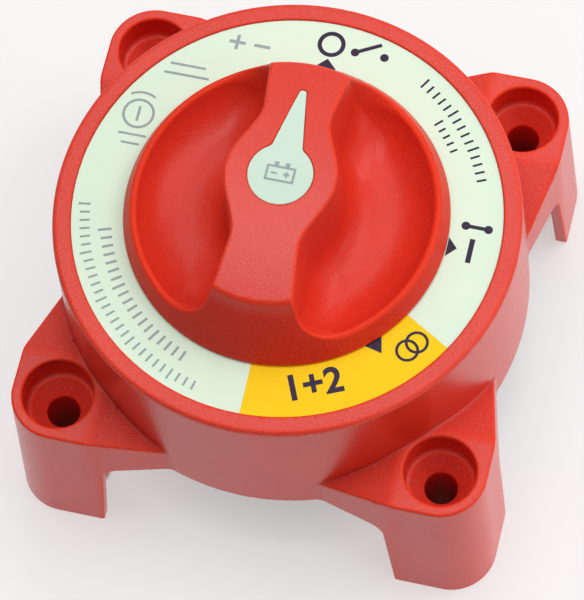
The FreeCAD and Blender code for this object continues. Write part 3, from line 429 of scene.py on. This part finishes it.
def field_mesh(name, field, low, high, step, adaptivity):
    """Return a mesh of a field's surface, with its true normals and its edges marked."""
    band = 3.0 * step
    values = np.clip(sampled(field, low, high, step), -band, band)
    grid = openvdb.FloatGrid(band)
    grid.copyFromArray(values)
    points, triangles, quads = grid.convertToPolygons(0.0, adaptivity)
    points = np.asarray(low) + points.astype(float) * step
    start = points.copy()
    furthest = 0.7 * step
    for _ in range(4):
        slope = gradient(field, points, 0.02)
        length = np.maximum((slope ** 2).sum(axis=1), 0.05)
        points = points - slope * (field(*points.T) / length)[:, None]
        points = start + np.clip(points - start, -furthest, furthest)
    slope = gradient(field, points, 0.04)
    normals = slope / np.maximum(np.linalg.norm(slope, axis=1), 1e-6)[:, None]
    corners = np.concatenate([triangles.ravel(), quads.ravel()]).astype(np.int32)
    sizes = np.concatenate([np.full(len(triangles), 3), np.full(len(quads), 4)])
    starts = np.concatenate([[0], np.cumsum(sizes)[:-1]]).astype(np.int32)
    mesh = bpy.data.meshes.new(name)
    mesh.vertices.add(len(points))
    mesh.vertices.foreach_set("co", (points * MM).astype(np.float32).ravel())
    mesh.loops.add(len(corners))
    mesh.loops.foreach_set("vertex_index", corners)
    mesh.polygons.add(len(sizes))
    mesh.polygons.foreach_set("loop_start", starts)
    mesh.update(calc_edges=True)
    mesh.validate()
    outward = sum(face.normal.dot(Vector(normals[face.vertices[0]])) for face in mesh.polygons[:200])
    if outward < 0.0:
        mesh.flip_normals()
    mesh.normals_split_custom_set_from_vertices(normals)
    # the edge and cavity marks place the red plastic's painted highlight on edges and its painted shade in
    # corners
    bend = curvature(field, points, 0.3)
    mark(mesh, "edge", np.clip(bend * 0.5, 0.0, 1.0))
    mark(mesh, "cavity", np.clip(-bend * 0.5, 0.0, 1.0))
    return mesh, points


def mark(mesh, name, values):
    """Keep one number for each vertex in the mesh, for its material."""
    layer = mesh.attributes.new(name, "FLOAT", "POINT")
    layer.data.foreach_set("value", values.astype(np.float32))


def add_piece(name, mesh, body, material, replaced=()):
    """Put a mesh in the scene, riding on a body and standing for CAD nodes."""
    piece = bpy.data.objects.new(name, mesh)
    bpy.context.scene.collection.objects.link(piece)
    mesh.materials.append(material)
    if replaced:
        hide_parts(*replaced)
    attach(piece, body)
    return piece


# ---------------------------------------------------------------- materials

class Nodes:
    """A small helper that builds a material's node tree."""

    def __init__(self, name):
        self.material = bpy.data.materials.new(name)
        self.material.use_nodes = True
        self.tree = self.material.node_tree
        self.shader = self.tree.nodes["Principled BSDF"]
        coordinates = self.tree.nodes.new("ShaderNodeTexCoord")
        self.place = coordinates.outputs["Object"]

    def link(self, source, target):
        """Join one node's output to another's input."""
        self.tree.links.new(source, target)

    def stretched(self, scale):
        """Return the object's coordinates, stretched along each axis."""
        node = self.tree.nodes.new("ShaderNodeMapping")
        node.inputs["Scale"].default_value = scale
        self.link(self.place, node.inputs["Vector"])
        return node.outputs["Vector"]

    def noise(self, scale, detail, roughness=0.55, place=None):
        """Return a noise value that varies over the surface."""
        node = self.tree.nodes.new("ShaderNodeTexNoise")
        node.inputs["Scale"].default_value = scale
        node.inputs["Detail"].default_value = detail
        node.inputs["Roughness"].default_value = roughness
        self.link(place or self.place, node.inputs["Vector"])
        return node.outputs["Fac"]

    def clouded(self, value, first, second):
        """Return a colour that drifts between two as a value does."""
        node = self.tree.nodes.new("ShaderNodeValToRGB")
        for element, position, colour in zip(node.color_ramp.elements, (0.3, 0.7), (first, second)):
            element.position = position
            element.color = (*colour, 1.0)
        self.link(value, node.inputs["Fac"])
        return node.outputs["Color"]

    def spread(self, value, low, high, start=0.3, end=0.7):
        """Return a value moved into a new range."""
        node = self.tree.nodes.new("ShaderNodeMapRange")
        node.inputs["From Min"].default_value = start
        node.inputs["From Max"].default_value = end
        node.inputs["To Min"].default_value = low
        node.inputs["To Max"].default_value = high
        self.link(value, node.inputs["Value"])
        return node.outputs["Result"]

    def maths(self, operation, first, second):
        """Return the result of one operation on two values."""
        node = self.tree.nodes.new("ShaderNodeMath")
        node.operation = operation
        for socket, item in zip(node.inputs, (first, second)):
            if isinstance(item, (int, float)):
                socket.default_value = item
            else:
                self.link(item, socket)
        return node.outputs["Value"]

    def blend(self, factor, first, second):
        """Return two colours mixed by a factor."""
        node = self.tree.nodes.new("ShaderNodeMix")
        node.data_type = "RGBA"
        for socket, item in zip((node.inputs[0], node.inputs[6], node.inputs[7]), (factor, first, second)):
            if isinstance(item, tuple):
                socket.default_value = (*item, 1.0)
            elif isinstance(item, (int, float)):
                socket.default_value = item
            else:
                self.link(item, socket)
        return node.outputs[2]

    def attribute(self, name):
        """Return a number kept in the mesh."""
        node = self.tree.nodes.new("ShaderNodeAttribute")
        node.attribute_name = name
        return node.outputs["Fac"]

    def worn(self):
        """Return how much a surface point stands out on an edge."""
        node = self.tree.nodes.new("ShaderNodeNewGeometry")
        return self.spread(node.outputs["Pointiness"], 0.0, 1.0, 0.52, 0.62)

    def bump(self, height, distance, strength):
        """Raise the surface by a height value."""
        node = self.tree.nodes.new("ShaderNodeBump")
        node.inputs["Distance"].default_value = distance
        node.inputs["Strength"].default_value = strength
        self.link(height, node.inputs["Height"])
        self.link(node.outputs["Normal"], self.shader.inputs["Normal"])


def red_plastic(name):
    """Return moulded red plastic: grain on its flats, less where it is smooth, less shine where dull, with
    a painted highlight on its edges and painted shade in its corners.
    """
    made = Nodes(name)
    edge = made.attribute("edge")
    smooth = made.attribute("smooth")
    base = made.clouded(made.noise(60.0, 2.0), RED, RED_CLOUD)
    speckle = made.spread(made.noise(4200.0, 2.0, 0.6), 0.05, 0.7, 0.5, 0.72)
    speckle = made.maths("MULTIPLY", speckle, made.maths("SUBTRACT", 1.0, smooth))
    base = made.blend(speckle, base, RED_GRAIN)
    # painted highlight: rounded edges are mixed towards a brighter red
    base = made.blend(made.maths("MULTIPLY", edge, 0.7), base, RED_EDGE_PAINTED_HIGHLIGHT)
    # painted shade: corners and creases are mixed towards a darker red
    base = made.blend(made.maths("MULTIPLY", made.attribute("cavity"), 0.35), base, RED_CORNER_PAINTED_SHADE)
    made.link(base, made.shader.inputs["Base Color"])
    grain = made.noise(4000.0, 2.5, 0.6)
    kept = made.maths("SUBTRACT", 1.0, made.maths("MULTIPLY", smooth, 0.9))
    rough = made.maths("MULTIPLY", made.spread(grain, 0.0, 0.14), kept)
    rough = made.maths("ADD", rough, made.maths("SUBTRACT", 0.36, made.maths("MULTIPLY", smooth, 0.14)))
    made.link(rough, made.shader.inputs["Roughness"])
    shine = made.maths("SUBTRACT", 0.5, made.maths("MULTIPLY", made.attribute("dull"), 0.4))
    shine = made.maths("SUBTRACT", shine, made.maths("MULTIPLY", edge, 0.3))
    made.link(made.maths("MAXIMUM", shine, 0.1), made.shader.inputs["Specular IOR Level"])
    made.shader.inputs["IOR"].default_value = 1.5
    made.bump(made.maths("MULTIPLY", grain, kept), 0.00009, 1.0)
    return made.material


def painted(name, colour, second, roughness, shine):
    """Return a printed or moulded flat finish with faint clouding and a fine tooth."""
    made = Nodes(name)
    made.shader.inputs["Specular IOR Level"].default_value = shine
    base = made.clouded(made.noise(90.0, 3.0), colour, second)
    made.link(base, made.shader.inputs["Base Color"])
    tooth = made.noise(2200.0, 2.0)
    made.link(made.spread(tooth, roughness - 0.05, roughness + 0.05), made.shader.inputs["Roughness"])
    made.bump(tooth, 0.00002, 0.4)
    return made.material


def moulded(name, colour, second, roughness, grain):
    """Return a hidden moulding's plastic or rubber, with paler worn edges."""
    made = Nodes(name)
    base = made.clouded(made.noise(180.0, 5.0), colour, second)
    lighter = tuple(min(1.0, value * 1.5 + 0.03) for value in second)
    base = made.blend(made.maths("MULTIPLY", made.worn(), 0.5), base, lighter)
    made.link(base, made.shader.inputs["Base Color"])
    tooth = made.noise(grain, 3.0, 0.6)
    made.link(made.spread(tooth, roughness - 0.08, roughness + 0.08), made.shader.inputs["Roughness"])
    made.bump(tooth, 0.00008, 0.5)
    return made.material


def metal(name, colour, second, roughness, stretch):
    """Return turned or drawn metal with fine tool marks and brighter worn edges."""
    made = Nodes(name)
    base = made.clouded(made.noise(140.0, 4.0), colour, second)
    brighter = tuple(min(1.0, value * 1.2 + 0.05) for value in colour)
    base = made.blend(made.maths("MULTIPLY", made.worn(), 0.6), base, brighter)
    made.link(base, made.shader.inputs["Base Color"])
    marks = made.noise(1.0, 3.0, 0.6, made.stretched(stretch))
    made.link(made.spread(marks, roughness - 0.07, roughness + 0.1), made.shader.inputs["Roughness"])
    made.shader.inputs["Metallic"].default_value = 1.0
    made.bump(marks, 0.00002, 0.5)
    return made.material


# ---------------------------------------------------------------- pieces

def housing_piece(material):
    """Make the housing, smooth on its upright walls."""
    low = (-FOOT_HALF - PAST, -FOOT_HALF - PAST, -PAST)
    high = (FOOT_HALF + PAST, FOOT_HALF + PAST, RIM_TOP + PAST)
    mesh, points = field_mesh("housing_skin", housing_field, low, high, HOUSING_STEP, 0.01)
    tilt = np.abs(gradient(housing_field, points, 0.1)[:, 2])
    mark(mesh, "smooth", WALL_SMOOTHNESS * np.interp(tilt, WALL_TILT, (1.0, 0.0)))
    mark(mesh, "dull", np.zeros(len(points)))
    add_piece("housing_skin", mesh, "base", material, ["housing"])


def knob_piece(material):
    """Make the knob, smoothest inside its finger bowls and dull below its crowned top."""
    low = (-KNOB_FOOT_RADIUS - PAST, -KNOB_FOOT_RADIUS - PAST, KNOB_UNDERSIDE - PAST)
    high = (KNOB_FOOT_RADIUS + PAST, KNOB_FOOT_RADIUS + PAST, KNOB_TOP + PAST)
    mesh, points = field_mesh("knob_skin", knob_field, low, high, KNOB_STEP, 0.0)
    envelope = knob_parts(*points.T)[-1]
    below_top = (-crown_field(points[:, 1], points[:, 2]) - TOP_DEPTH) / TOP_FADE
    inside = np.clip(np.minimum(below_top, (-envelope - SKIN_DEPTH) / SKIN_FADE), 0.0, 1.0)
    mark(mesh, "smooth", GRIP_SMOOTHNESS + (BOWL_SMOOTHNESS - GRIP_SMOOTHNESS) * inside)
    mark(mesh, "dull", np.clip(below_top, 0.0, 1.0) * (1.0 - BOWL_SHINE * inside))
    add_piece("knob_skin", mesh, "turning", material, ["knob"])


def inlay_piece(material):
    """Make the pale pointer inlay."""
    low = (-INLAY_RADIUS - PAST, -INLAY_RADIUS - PAST, INLAY_FLOOR - PAST / 2.0)
    high = (INLAY_RADIUS + PAST, INLAY_TIP + 2.0 * PAST, KNOB_TOP + PAST / 2.0)
    mesh = field_mesh("inlay_skin", inlay_piece_field, low, high, INLAY_STEP, 0.01)[0]
    add_piece("inlay_skin", mesh, "turning", material, ["pointer_inlay"])


def sector_mesh(name, inner, outer, start, sweep, bottom, top):
    """Return the mesh of a ring sector with finely divided arcs."""
    count = max(3, round(sweep / 1.25))
    shape = bmesh.new()
    rings = []
    for step in range(count + 1):
        angle = math.radians(start + sweep * step / count)
        corners = ((inner, bottom), (outer, bottom), (outer, top), (inner, top))
        turned = [(r * math.cos(angle), r * math.sin(angle), z) for r, z in corners]
        rings.append([shape.verts.new((x * MM, y * MM, z * MM)) for x, y, z in turned])
    for first, second in zip(rings, rings[1:]):
        for side in range(4):
            after = (side + 1) % 4
            shape.faces.new((first[side], first[after], second[after], second[side]))
    shape.faces.new(rings[0][::-1])
    shape.faces.new(rings[-1])
    bmesh.ops.recalc_face_normals(shape, faces=shape.faces)
    mesh = bpy.data.meshes.new(name)
    shape.to_mesh(mesh)
    shape.free()
    return mesh


def label_pieces(pale, yellow):
    """Make the label's two fields."""
    bottom = LABEL_TOP - LABEL_THICKNESS
    for name, node, start, sweep, material in (
        ("label_pale", "label_ring", FIELD_START + FIELD_SWEEP, 360.0 - FIELD_SWEEP, pale),
        ("label_yellow", "label_field", FIELD_START, FIELD_SWEEP, yellow),
    ):
        mesh = sector_mesh(name, LABEL_INNER, LABEL_OUTER, start, sweep, bottom, LABEL_TOP)
        piece = add_piece(name, mesh, "base", material, [node])
        bevel = piece.modifiers.new("edge", "BEVEL")
        bevel.width = LABEL_BEVEL * MM
        bevel.segments = 2
        bevel.limit_method = "ANGLE"


# ---------------------------------------------------------------- printed marks

def polar(radius, angle):
    """Return a point from its radius and angle."""
    return (radius * math.cos(math.radians(angle)), radius * math.sin(math.radians(angle)))


def stroke(first, second, width):
    """Return the outline of a straight bar between two points."""
    along = Vector(second) - Vector(first)
    side = Vector((-along.y, along.x)).normalized() * width / 2.0
    corners = (Vector(first) + side, Vector(first) - side, Vector(second) - side, Vector(second) + side)
    return [tuple(corner) for corner in corners]


def strokes(rows):
    """Return the outlines of straight bars, each row giving its two ends and its width."""
    return [stroke(*row) for row in rows]


def disc(centre, radius):
    """Return a round outline."""
    around = (polar(radius, 360.0 * index / DISC_SIDES) for index in range(DISC_SIDES))
    return [(centre[0] + x, centre[1] + y) for x, y in around]


def ring_bars(centre, radius, width, start=0.0, sweep=360.0, count=48):
    """Return the outlines that make a ring or an arc."""
    outlines = []
    for step in range(count):
        first = start + sweep * step / count
        second = start + sweep * (step + 1) / count
        corners = [polar(radius + width / 2.0, first), polar(radius + width / 2.0, second)]
        corners += [polar(radius - width / 2.0, second), polar(radius - width / 2.0, first)]
        outlines.append([(centre[0] + x, centre[1] + y) for x, y in corners])
    return outlines


def print_mesh(name, outlines, base, thickness):
    """Return the mesh of flat printed marks: each outline raised by a thin layer."""
    shape = bmesh.new()
    for rank, outline in enumerate(outlines):
        top = base + thickness + PRINT_OVERLAP * (rank % 4)
        low = [shape.verts.new((x * MM, y * MM, base * MM)) for x, y in outline]
        high = [shape.verts.new((x * MM, y * MM, top * MM)) for x, y in outline]
        shape.faces.new(low[::-1])
        shape.faces.new(high)
        for index in range(len(outline)):
            after = (index + 1) % len(outline)
            shape.faces.new((low[index], low[after], high[after], high[index]))
    bmesh.ops.remove_doubles(shape, verts=shape.verts, dist=1e-7)
    bmesh.ops.recalc_face_normals(shape, faces=shape.faces)
    mesh = bpy.data.meshes.new(name)
    shape.to_mesh(mesh)
    shape.free()
    return mesh


def ticks(radius, start, end, pitch, length, width, long_every=5):
    """Return a dial's graduation marks along an arc, some of them longer."""
    count = max(2, round(abs(end - start) / pitch))
    outlines = []
    for index in range(count + 1):
        angle = start + (end - start) * index / count
        extra = 0.45 if index % long_every == 0 else 0.0
        inner = polar(radius - length / 2.0, angle)
        outer = polar(radius + length / 2.0 + extra, angle)
        outlines.append(stroke(inner, outer, width))
    return outlines


def digits(text, centre, height, turn):
    """Return the mesh of a number, lying flat on the yellow field."""
    curve = bpy.data.curves.new("digits", "FONT")
    curve.body = text
    curve.align_x = "CENTER"
    curve.align_y = "CENTER"
    curve.size = height * MM / 0.72
    curve.offset = DIGIT_WEIGHT * MM
    curve.extrude = PRINT_THICKNESS * MM / 2.0
    curve.resolution_u = 6
    holder = bpy.data.objects.new("digits", curve)
    bpy.context.scene.collection.objects.link(holder)
    bpy.context.view_layer.update()
    mesh = bpy.data.meshes.new_from_object(holder.evaluated_get(bpy.context.evaluated_depsgraph_get()))
    bpy.data.objects.remove(holder)
    bpy.data.curves.remove(curve)
    place = Matrix.Translation((centre[0] * MM, centre[1] * MM, (LABEL_TOP + PRINT_THICKNESS / 2.0) * MM))
    mesh.transform(place @ Matrix.Rotation(math.radians(turn), 4, "Z"))
    mesh.name = "print_number"
    return mesh


def contact_symbol(at, width, closed):
    """Return a switch contact's symbol: two terminals, joined or open."""
    left = (at[0], at[1])
    right = (at[0] + width, at[1])
    lever_end = right if closed else (at[0] + width * 0.82, at[1] + 2.6)
    return [disc(left, 0.85), disc(right, 0.85), stroke(left, lever_end, 0.75)]


def dark_marks():
    """Return the outlines of the dark marks on the label's pale field."""
    marks = ring_bars((0.2, 37.2), 2.33, 0.85)
    marks += contact_symbol((5.1, 36.4), 5.9, False)
    marks.append([(0.2, 34.0), (-1.9, 31.9), (2.3, 31.9)])
    marks += contact_symbol((34.2, 4.7), 4.4, True)
    marks.append(stroke((36.1, -2.8), (36.1, 2.2), 1.0))
    marks.append([(33.5, -0.3), (31.6, 1.7), (31.6, -2.3)])
    marks += ticks(38.0, 58.5, 22.5, 2.6, 1.9, 0.42)
    marks += ticks(34.6, 45.5, 34.5, 2.6, 1.5, 0.42, 99)
    return marks


def field_marks():
    """Return the outlines of the dark marks on the label's yellow field, except its number."""
    marks = [[polar(34.3, -45.0), polar(31.4, -48.4), polar(31.4, -41.6)]]
    first = polar(36.7, -38.2)
    second = polar(36.7, -34.4)
    marks += ring_bars(first, 2.0, 0.55)
    marks += ring_bars(second, 2.0, 0.55)
    return marks


def grey_marks():
    """Return the outlines of the grey marks on the label's pale field."""
    marks = ticks(39.0, 188.5, 256.5, 2.5, 1.9, 0.42, 6)
    marks += ticks(34.9, 197.0, 249.0, 2.9, 2.2, 0.5, 7)
    marks += ring_bars((-33.3, 15.0), 2.95, 0.5)
    marks.append(stroke((-33.3, 13.4), (-33.3, 16.6), 0.5))
    marks += ring_bars((-33.3, 15.0), 4.6, 0.45, 58.0, 64.0, 10)
    marks += strokes((
        ((-36.2, 10.4), (-30.6, 10.4), 0.45),
        ((-35.2, 8.5), (-31.6, 8.5), 0.45),
        ((-29.8, 27.0), (-22.7, 27.0), 0.5),
        ((-30.6, 24.9), (-21.6, 24.9), 0.5),
        ((-19.6, 34.0), (-16.4, 34.0), 0.65),
        ((-18.0, 32.4), (-18.0, 35.6), 0.65),
        ((-14.6, 34.0), (-11.4, 34.0), 0.65),
    ))
    return marks


def pointer_marks():
    """Return the outlines of the grey battery sign on the pointer's disc."""
    return strokes((
        ((-2.6, -1.5), (2.6, -1.5), 0.45),
        ((-2.6, 1.3), (2.6, 1.3), 0.45),
        ((-2.6, -1.72), (-2.6, 1.52), 0.45),
        ((2.6, -1.72), (2.6, 1.52), 0.45),
        ((-1.5, 1.9), (-0.6, 1.9), 0.8),
        ((0.6, 1.9), (1.5, 1.9), 0.8),
        ((-1.8, -0.1), (-0.6, -0.1), 0.38),
        ((0.6, -0.1), (1.8, -0.1), 0.38),
        ((1.2, -0.7), (1.2, 0.5), 0.38),
    ))


def printed_pieces(dark, grey):
    """Make the printed marks on the label and on the pointer."""
    for name, outlines, ink in (
        ("print_dark", dark_marks(), dark),
        ("print_field", field_marks(), dark),
        ("print_grey", grey_marks(), grey),
    ):
        mesh = print_mesh(name, outlines, LABEL_TOP, PRINT_THICKNESS)
        add_piece(name, mesh, "base", ink)
    number = digits("1+2", polar(35.7, -68.5), 5.2, 24.0)
    add_piece("print_number", number, "base", dark)
    below_crown = KNOB_TOP - INLAY_SINK - SIGN_SINK
    mesh = print_mesh("print_pointer", pointer_marks(), below_crown, 2.0 * PRINT_THICKNESS)
    add_piece("print_pointer", mesh, "turning", grey)


def finish_cad_nodes():
    """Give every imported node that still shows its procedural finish."""
    steel = metal("steel", (0.62, 0.63, 0.65), (0.5, 0.51, 0.53), 0.3, (400.0, 400.0, 2600.0))
    spring = metal("spring_steel", (0.5, 0.5, 0.52), (0.38, 0.38, 0.4), 0.28, (3000.0, 3000.0, 600.0))
    brass = metal("brass", (0.76, 0.53, 0.22), (0.62, 0.42, 0.16), 0.26, (500.0, 500.0, 2800.0))
    copper = metal("copper", (0.78, 0.36, 0.22), (0.64, 0.28, 0.16), 0.3, (1200.0, 1200.0, 2000.0))
    tin = metal("tinned_copper", (0.72, 0.71, 0.68), (0.6, 0.58, 0.54), 0.34, (900.0, 900.0, 3200.0))
    black = moulded("filled_black_plastic", (0.014, 0.014, 0.016), (0.03, 0.03, 0.033), 0.48, 1400.0)
    nylon_black = moulded("black_nylon", (0.02, 0.02, 0.022), (0.045, 0.045, 0.05), 0.42, 1000.0)
    deck = moulded("natural_thermoset", (0.55, 0.5, 0.42), (0.66, 0.62, 0.54), 0.5, 1200.0)
    nylon = moulded("natural_nylon", (0.78, 0.76, 0.68), (0.86, 0.84, 0.78), 0.38, 900.0)
    rubber = moulded("sheet_rubber", (0.012, 0.012, 0.012), (0.03, 0.03, 0.03), 0.72, 2200.0)
    nitrile = moulded("nitrile", (0.01, 0.01, 0.01), (0.024, 0.024, 0.024), 0.6, 1800.0)
    finishes = {
        "base_plate": black,
        "base_gasket": rubber,
        "base_screws": steel,
        "contact_deck": deck,
        "shaft_bushing": brass,
        "shaft_seal": nitrile,
        "thrust_washer": nylon,
        "detent_springs": spring,
        "stud_washers": steel,
        "stud_lock_washers": spring,
        "stud_nuts": steel,
        "shaft": brass,
        "rotor": nylon_black,
        "retaining_ring": spring,
        "knob_screw": steel,
        "contact_springs_1": spring,
        "contact_springs_2": spring,
        "contact_bar_1": copper,
        "contact_bar_2": copper,
    }
    for number in range(1, 5):
        finishes[f"terminal_{number}"] = tin
    for name, material in finishes.items():
        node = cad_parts[name]
        node.data.materials.clear()
        node.data.materials.append(material)


# ---------------------------------------------------------------- floor, lights and camera

def floor():
    """Make the plain pale floor, which glows a little as painted light, with painted shadow under the
    middle and under the screw holes.
    """
    shape = bmesh.new()
    bmesh.ops.create_grid(shape, x_segments=1, y_segments=1, size=FLOOR_HALF)
    mesh = bpy.data.meshes.new("floor")
    shape.to_mesh(mesh)
    shape.free()
    made = Nodes("floor_paper")
    base = made.clouded(made.noise(6.0, 2.0), FLOOR_COLOUR, FLOOR_SECOND)
    reach = made.tree.nodes.new("ShaderNodeVectorMath")
    reach.operation = "LENGTH"
    made.link(made.place, reach.inputs[0])
    # painted fall-off of light: the floor's colour darkens farther out, and its glow weakens
    far = made.spread(reach.outputs["Value"], 0.0, 1.0, *FLOOR_FADE)
    made.link(made.blend(far, base, FLOOR_FAR), made.shader.inputs["Base Color"])
    made.shader.inputs["Roughness"].default_value = 0.7
    made.link(made.blend(far, GLOW_COLOUR, GLOW_FAR), made.shader.inputs["Emission Color"])
    folded = made.tree.nodes.new("ShaderNodeVectorMath")
    folded.operation = "ABSOLUTE"
    made.link(made.place, folded.inputs[0])
    from_hole = made.tree.nodes.new("ShaderNodeVectorMath")
    from_hole.operation = "DISTANCE"
    made.link(folded.outputs["Vector"], from_hole.inputs[0])
    from_hole.inputs[1].default_value = (HOLE_AT * MM, HOLE_AT * MM, 0.0)
    # painted shadow: the glow is dimmed to three tenths under the switch's middle and to nothing under the
    # screw holes
    glow = made.spread(reach.outputs["Value"], 0.3 * FLOOR_GLOW, FLOOR_GLOW, *MIDDLE_SHADE)
    beyond_hole = made.spread(from_hole.outputs["Value"], 0.0, 1.0, *HOLE_SHADE)
    made.link(made.maths("MULTIPLY", glow, beyond_hole), made.shader.inputs["Emission Strength"])
    mesh.materials.append(made.material)
    piece = bpy.data.objects.new("floor", mesh)
    bpy.context.scene.collection.objects.link(piece)
    piece.location.z = -FLOOR_DROP


def lamp(name, place, size, power):
    """Hang one soft square lamp that points at the switch."""
    light = bpy.data.lights.new(name, "AREA")
    light.shape = "RECTANGLE"
    light.size = size[0]
    light.size_y = size[1]
    light.energy = power
    holder = bpy.data.objects.new(name, light)
    bpy.context.scene.collection.objects.link(holder)
    holder.location = place
    holder.rotation_euler = (Vector(place) - Vector(LAMP_AIM)).to_track_quat("Z", "Y").to_euler()


def studio():
    """Light the switch with lamps and a sky that is brighter above and behind it."""
    for name, place, size, power in LAMPS:
        lamp(name, place, size, power)
    world = bpy.data.worlds.new("studio")
    bpy.context.scene.world = world
    world.use_nodes = True
    tree = world.node_tree
    sky = tree.nodes["Background"]
    sky.inputs["Color"].default_value = (1.0, 1.0, 1.0, 1.0)
    direction = tree.nodes.new("ShaderNodeTexCoord")
    towards = tree.nodes.new("ShaderNodeVectorMath")
    towards.operation = "DOT_PRODUCT"
    towards.inputs[1].default_value = SKY_TOWARDS
    tree.links.new(direction.outputs["Generated"], towards.inputs[0])
    level = tree.nodes.new("ShaderNodeMapRange")
    level.interpolation_type = "SMOOTHSTEP"
    level.inputs["From Min"].default_value = SKY_RANGE[0]
    level.inputs["From Max"].default_value = SKY_RANGE[1]
    level.inputs["To Min"].default_value = SKY_DARK
    level.inputs["To Max"].default_value = SKY_BRIGHT
    tree.links.new(towards.outputs["Value"], level.inputs["Value"])
    tree.links.new(level.outputs["Result"], sky.inputs["Strength"])
    bpy.context.scene.view_settings.view_transform = "Standard"
    bpy.context.scene.view_settings.look = "None"


def camera():
    """Set up the camera, which looks down at the switch from the front right."""
    azimuth = math.radians(CAMERA_AZIMUTH)
    height = math.radians(CAMERA_HEIGHT)
    roll = math.radians(CAMERA_ROLL)
    outward = math.cos(height)
    back = Vector((math.sin(azimuth) * outward, -math.cos(azimuth) * outward, math.sin(height)))
    level = Vector((math.cos(azimuth), math.sin(azimuth), 0.0))
    above = back.cross(level)
    right = level * math.cos(roll) + above * math.sin(roll)
    up = above * math.cos(roll) - level * math.sin(roll)
    data = bpy.data.cameras.new("camera")
    data.lens = CAMERA_LENS
    data.sensor_width = CAMERA_SENSOR
    data.clip_end = 20.0
    holder = bpy.data.objects.new("camera", data)
    bpy.context.scene.collection.objects.link(holder)
    turned = Matrix((right, up, back)).transposed().to_4x4()
    holder.matrix_world = Matrix.Translation(Vector(CAMERA_PLACE) * MM) @ turned
    bpy.context.scene.camera = holder


# ---------------------------------------------------------------- the scene

red = red_plastic("red_plastic")
inlay_pale = painted("inlay_pale", (0.60, 0.75, 0.62), (0.63, 0.78, 0.65), 0.5, 0.2)
label_pale = painted("label_pale_finish", (0.715, 0.87, 0.70), (0.735, 0.89, 0.72), 0.6, 0.15)
label_yellow = painted("label_yellow_finish", (0.95, 0.60, 0.005), (1.0, 0.64, 0.01), 0.6, 0.15)
ink_dark = painted("ink_dark", (0.02, 0.009, 0.035), (0.03, 0.013, 0.05), 0.5, 0.25)
ink_grey = painted("ink_grey", (0.30, 0.36, 0.36), (0.34, 0.40, 0.40), 0.55, 0.2)

housing_piece(red)
knob_piece(red)
inlay_piece(inlay_pale)
label_pieces(label_pale, label_yellow)
printed_pieces(ink_dark, ink_grey)
finish_cad_nodes()
floor()
studio()
camera()
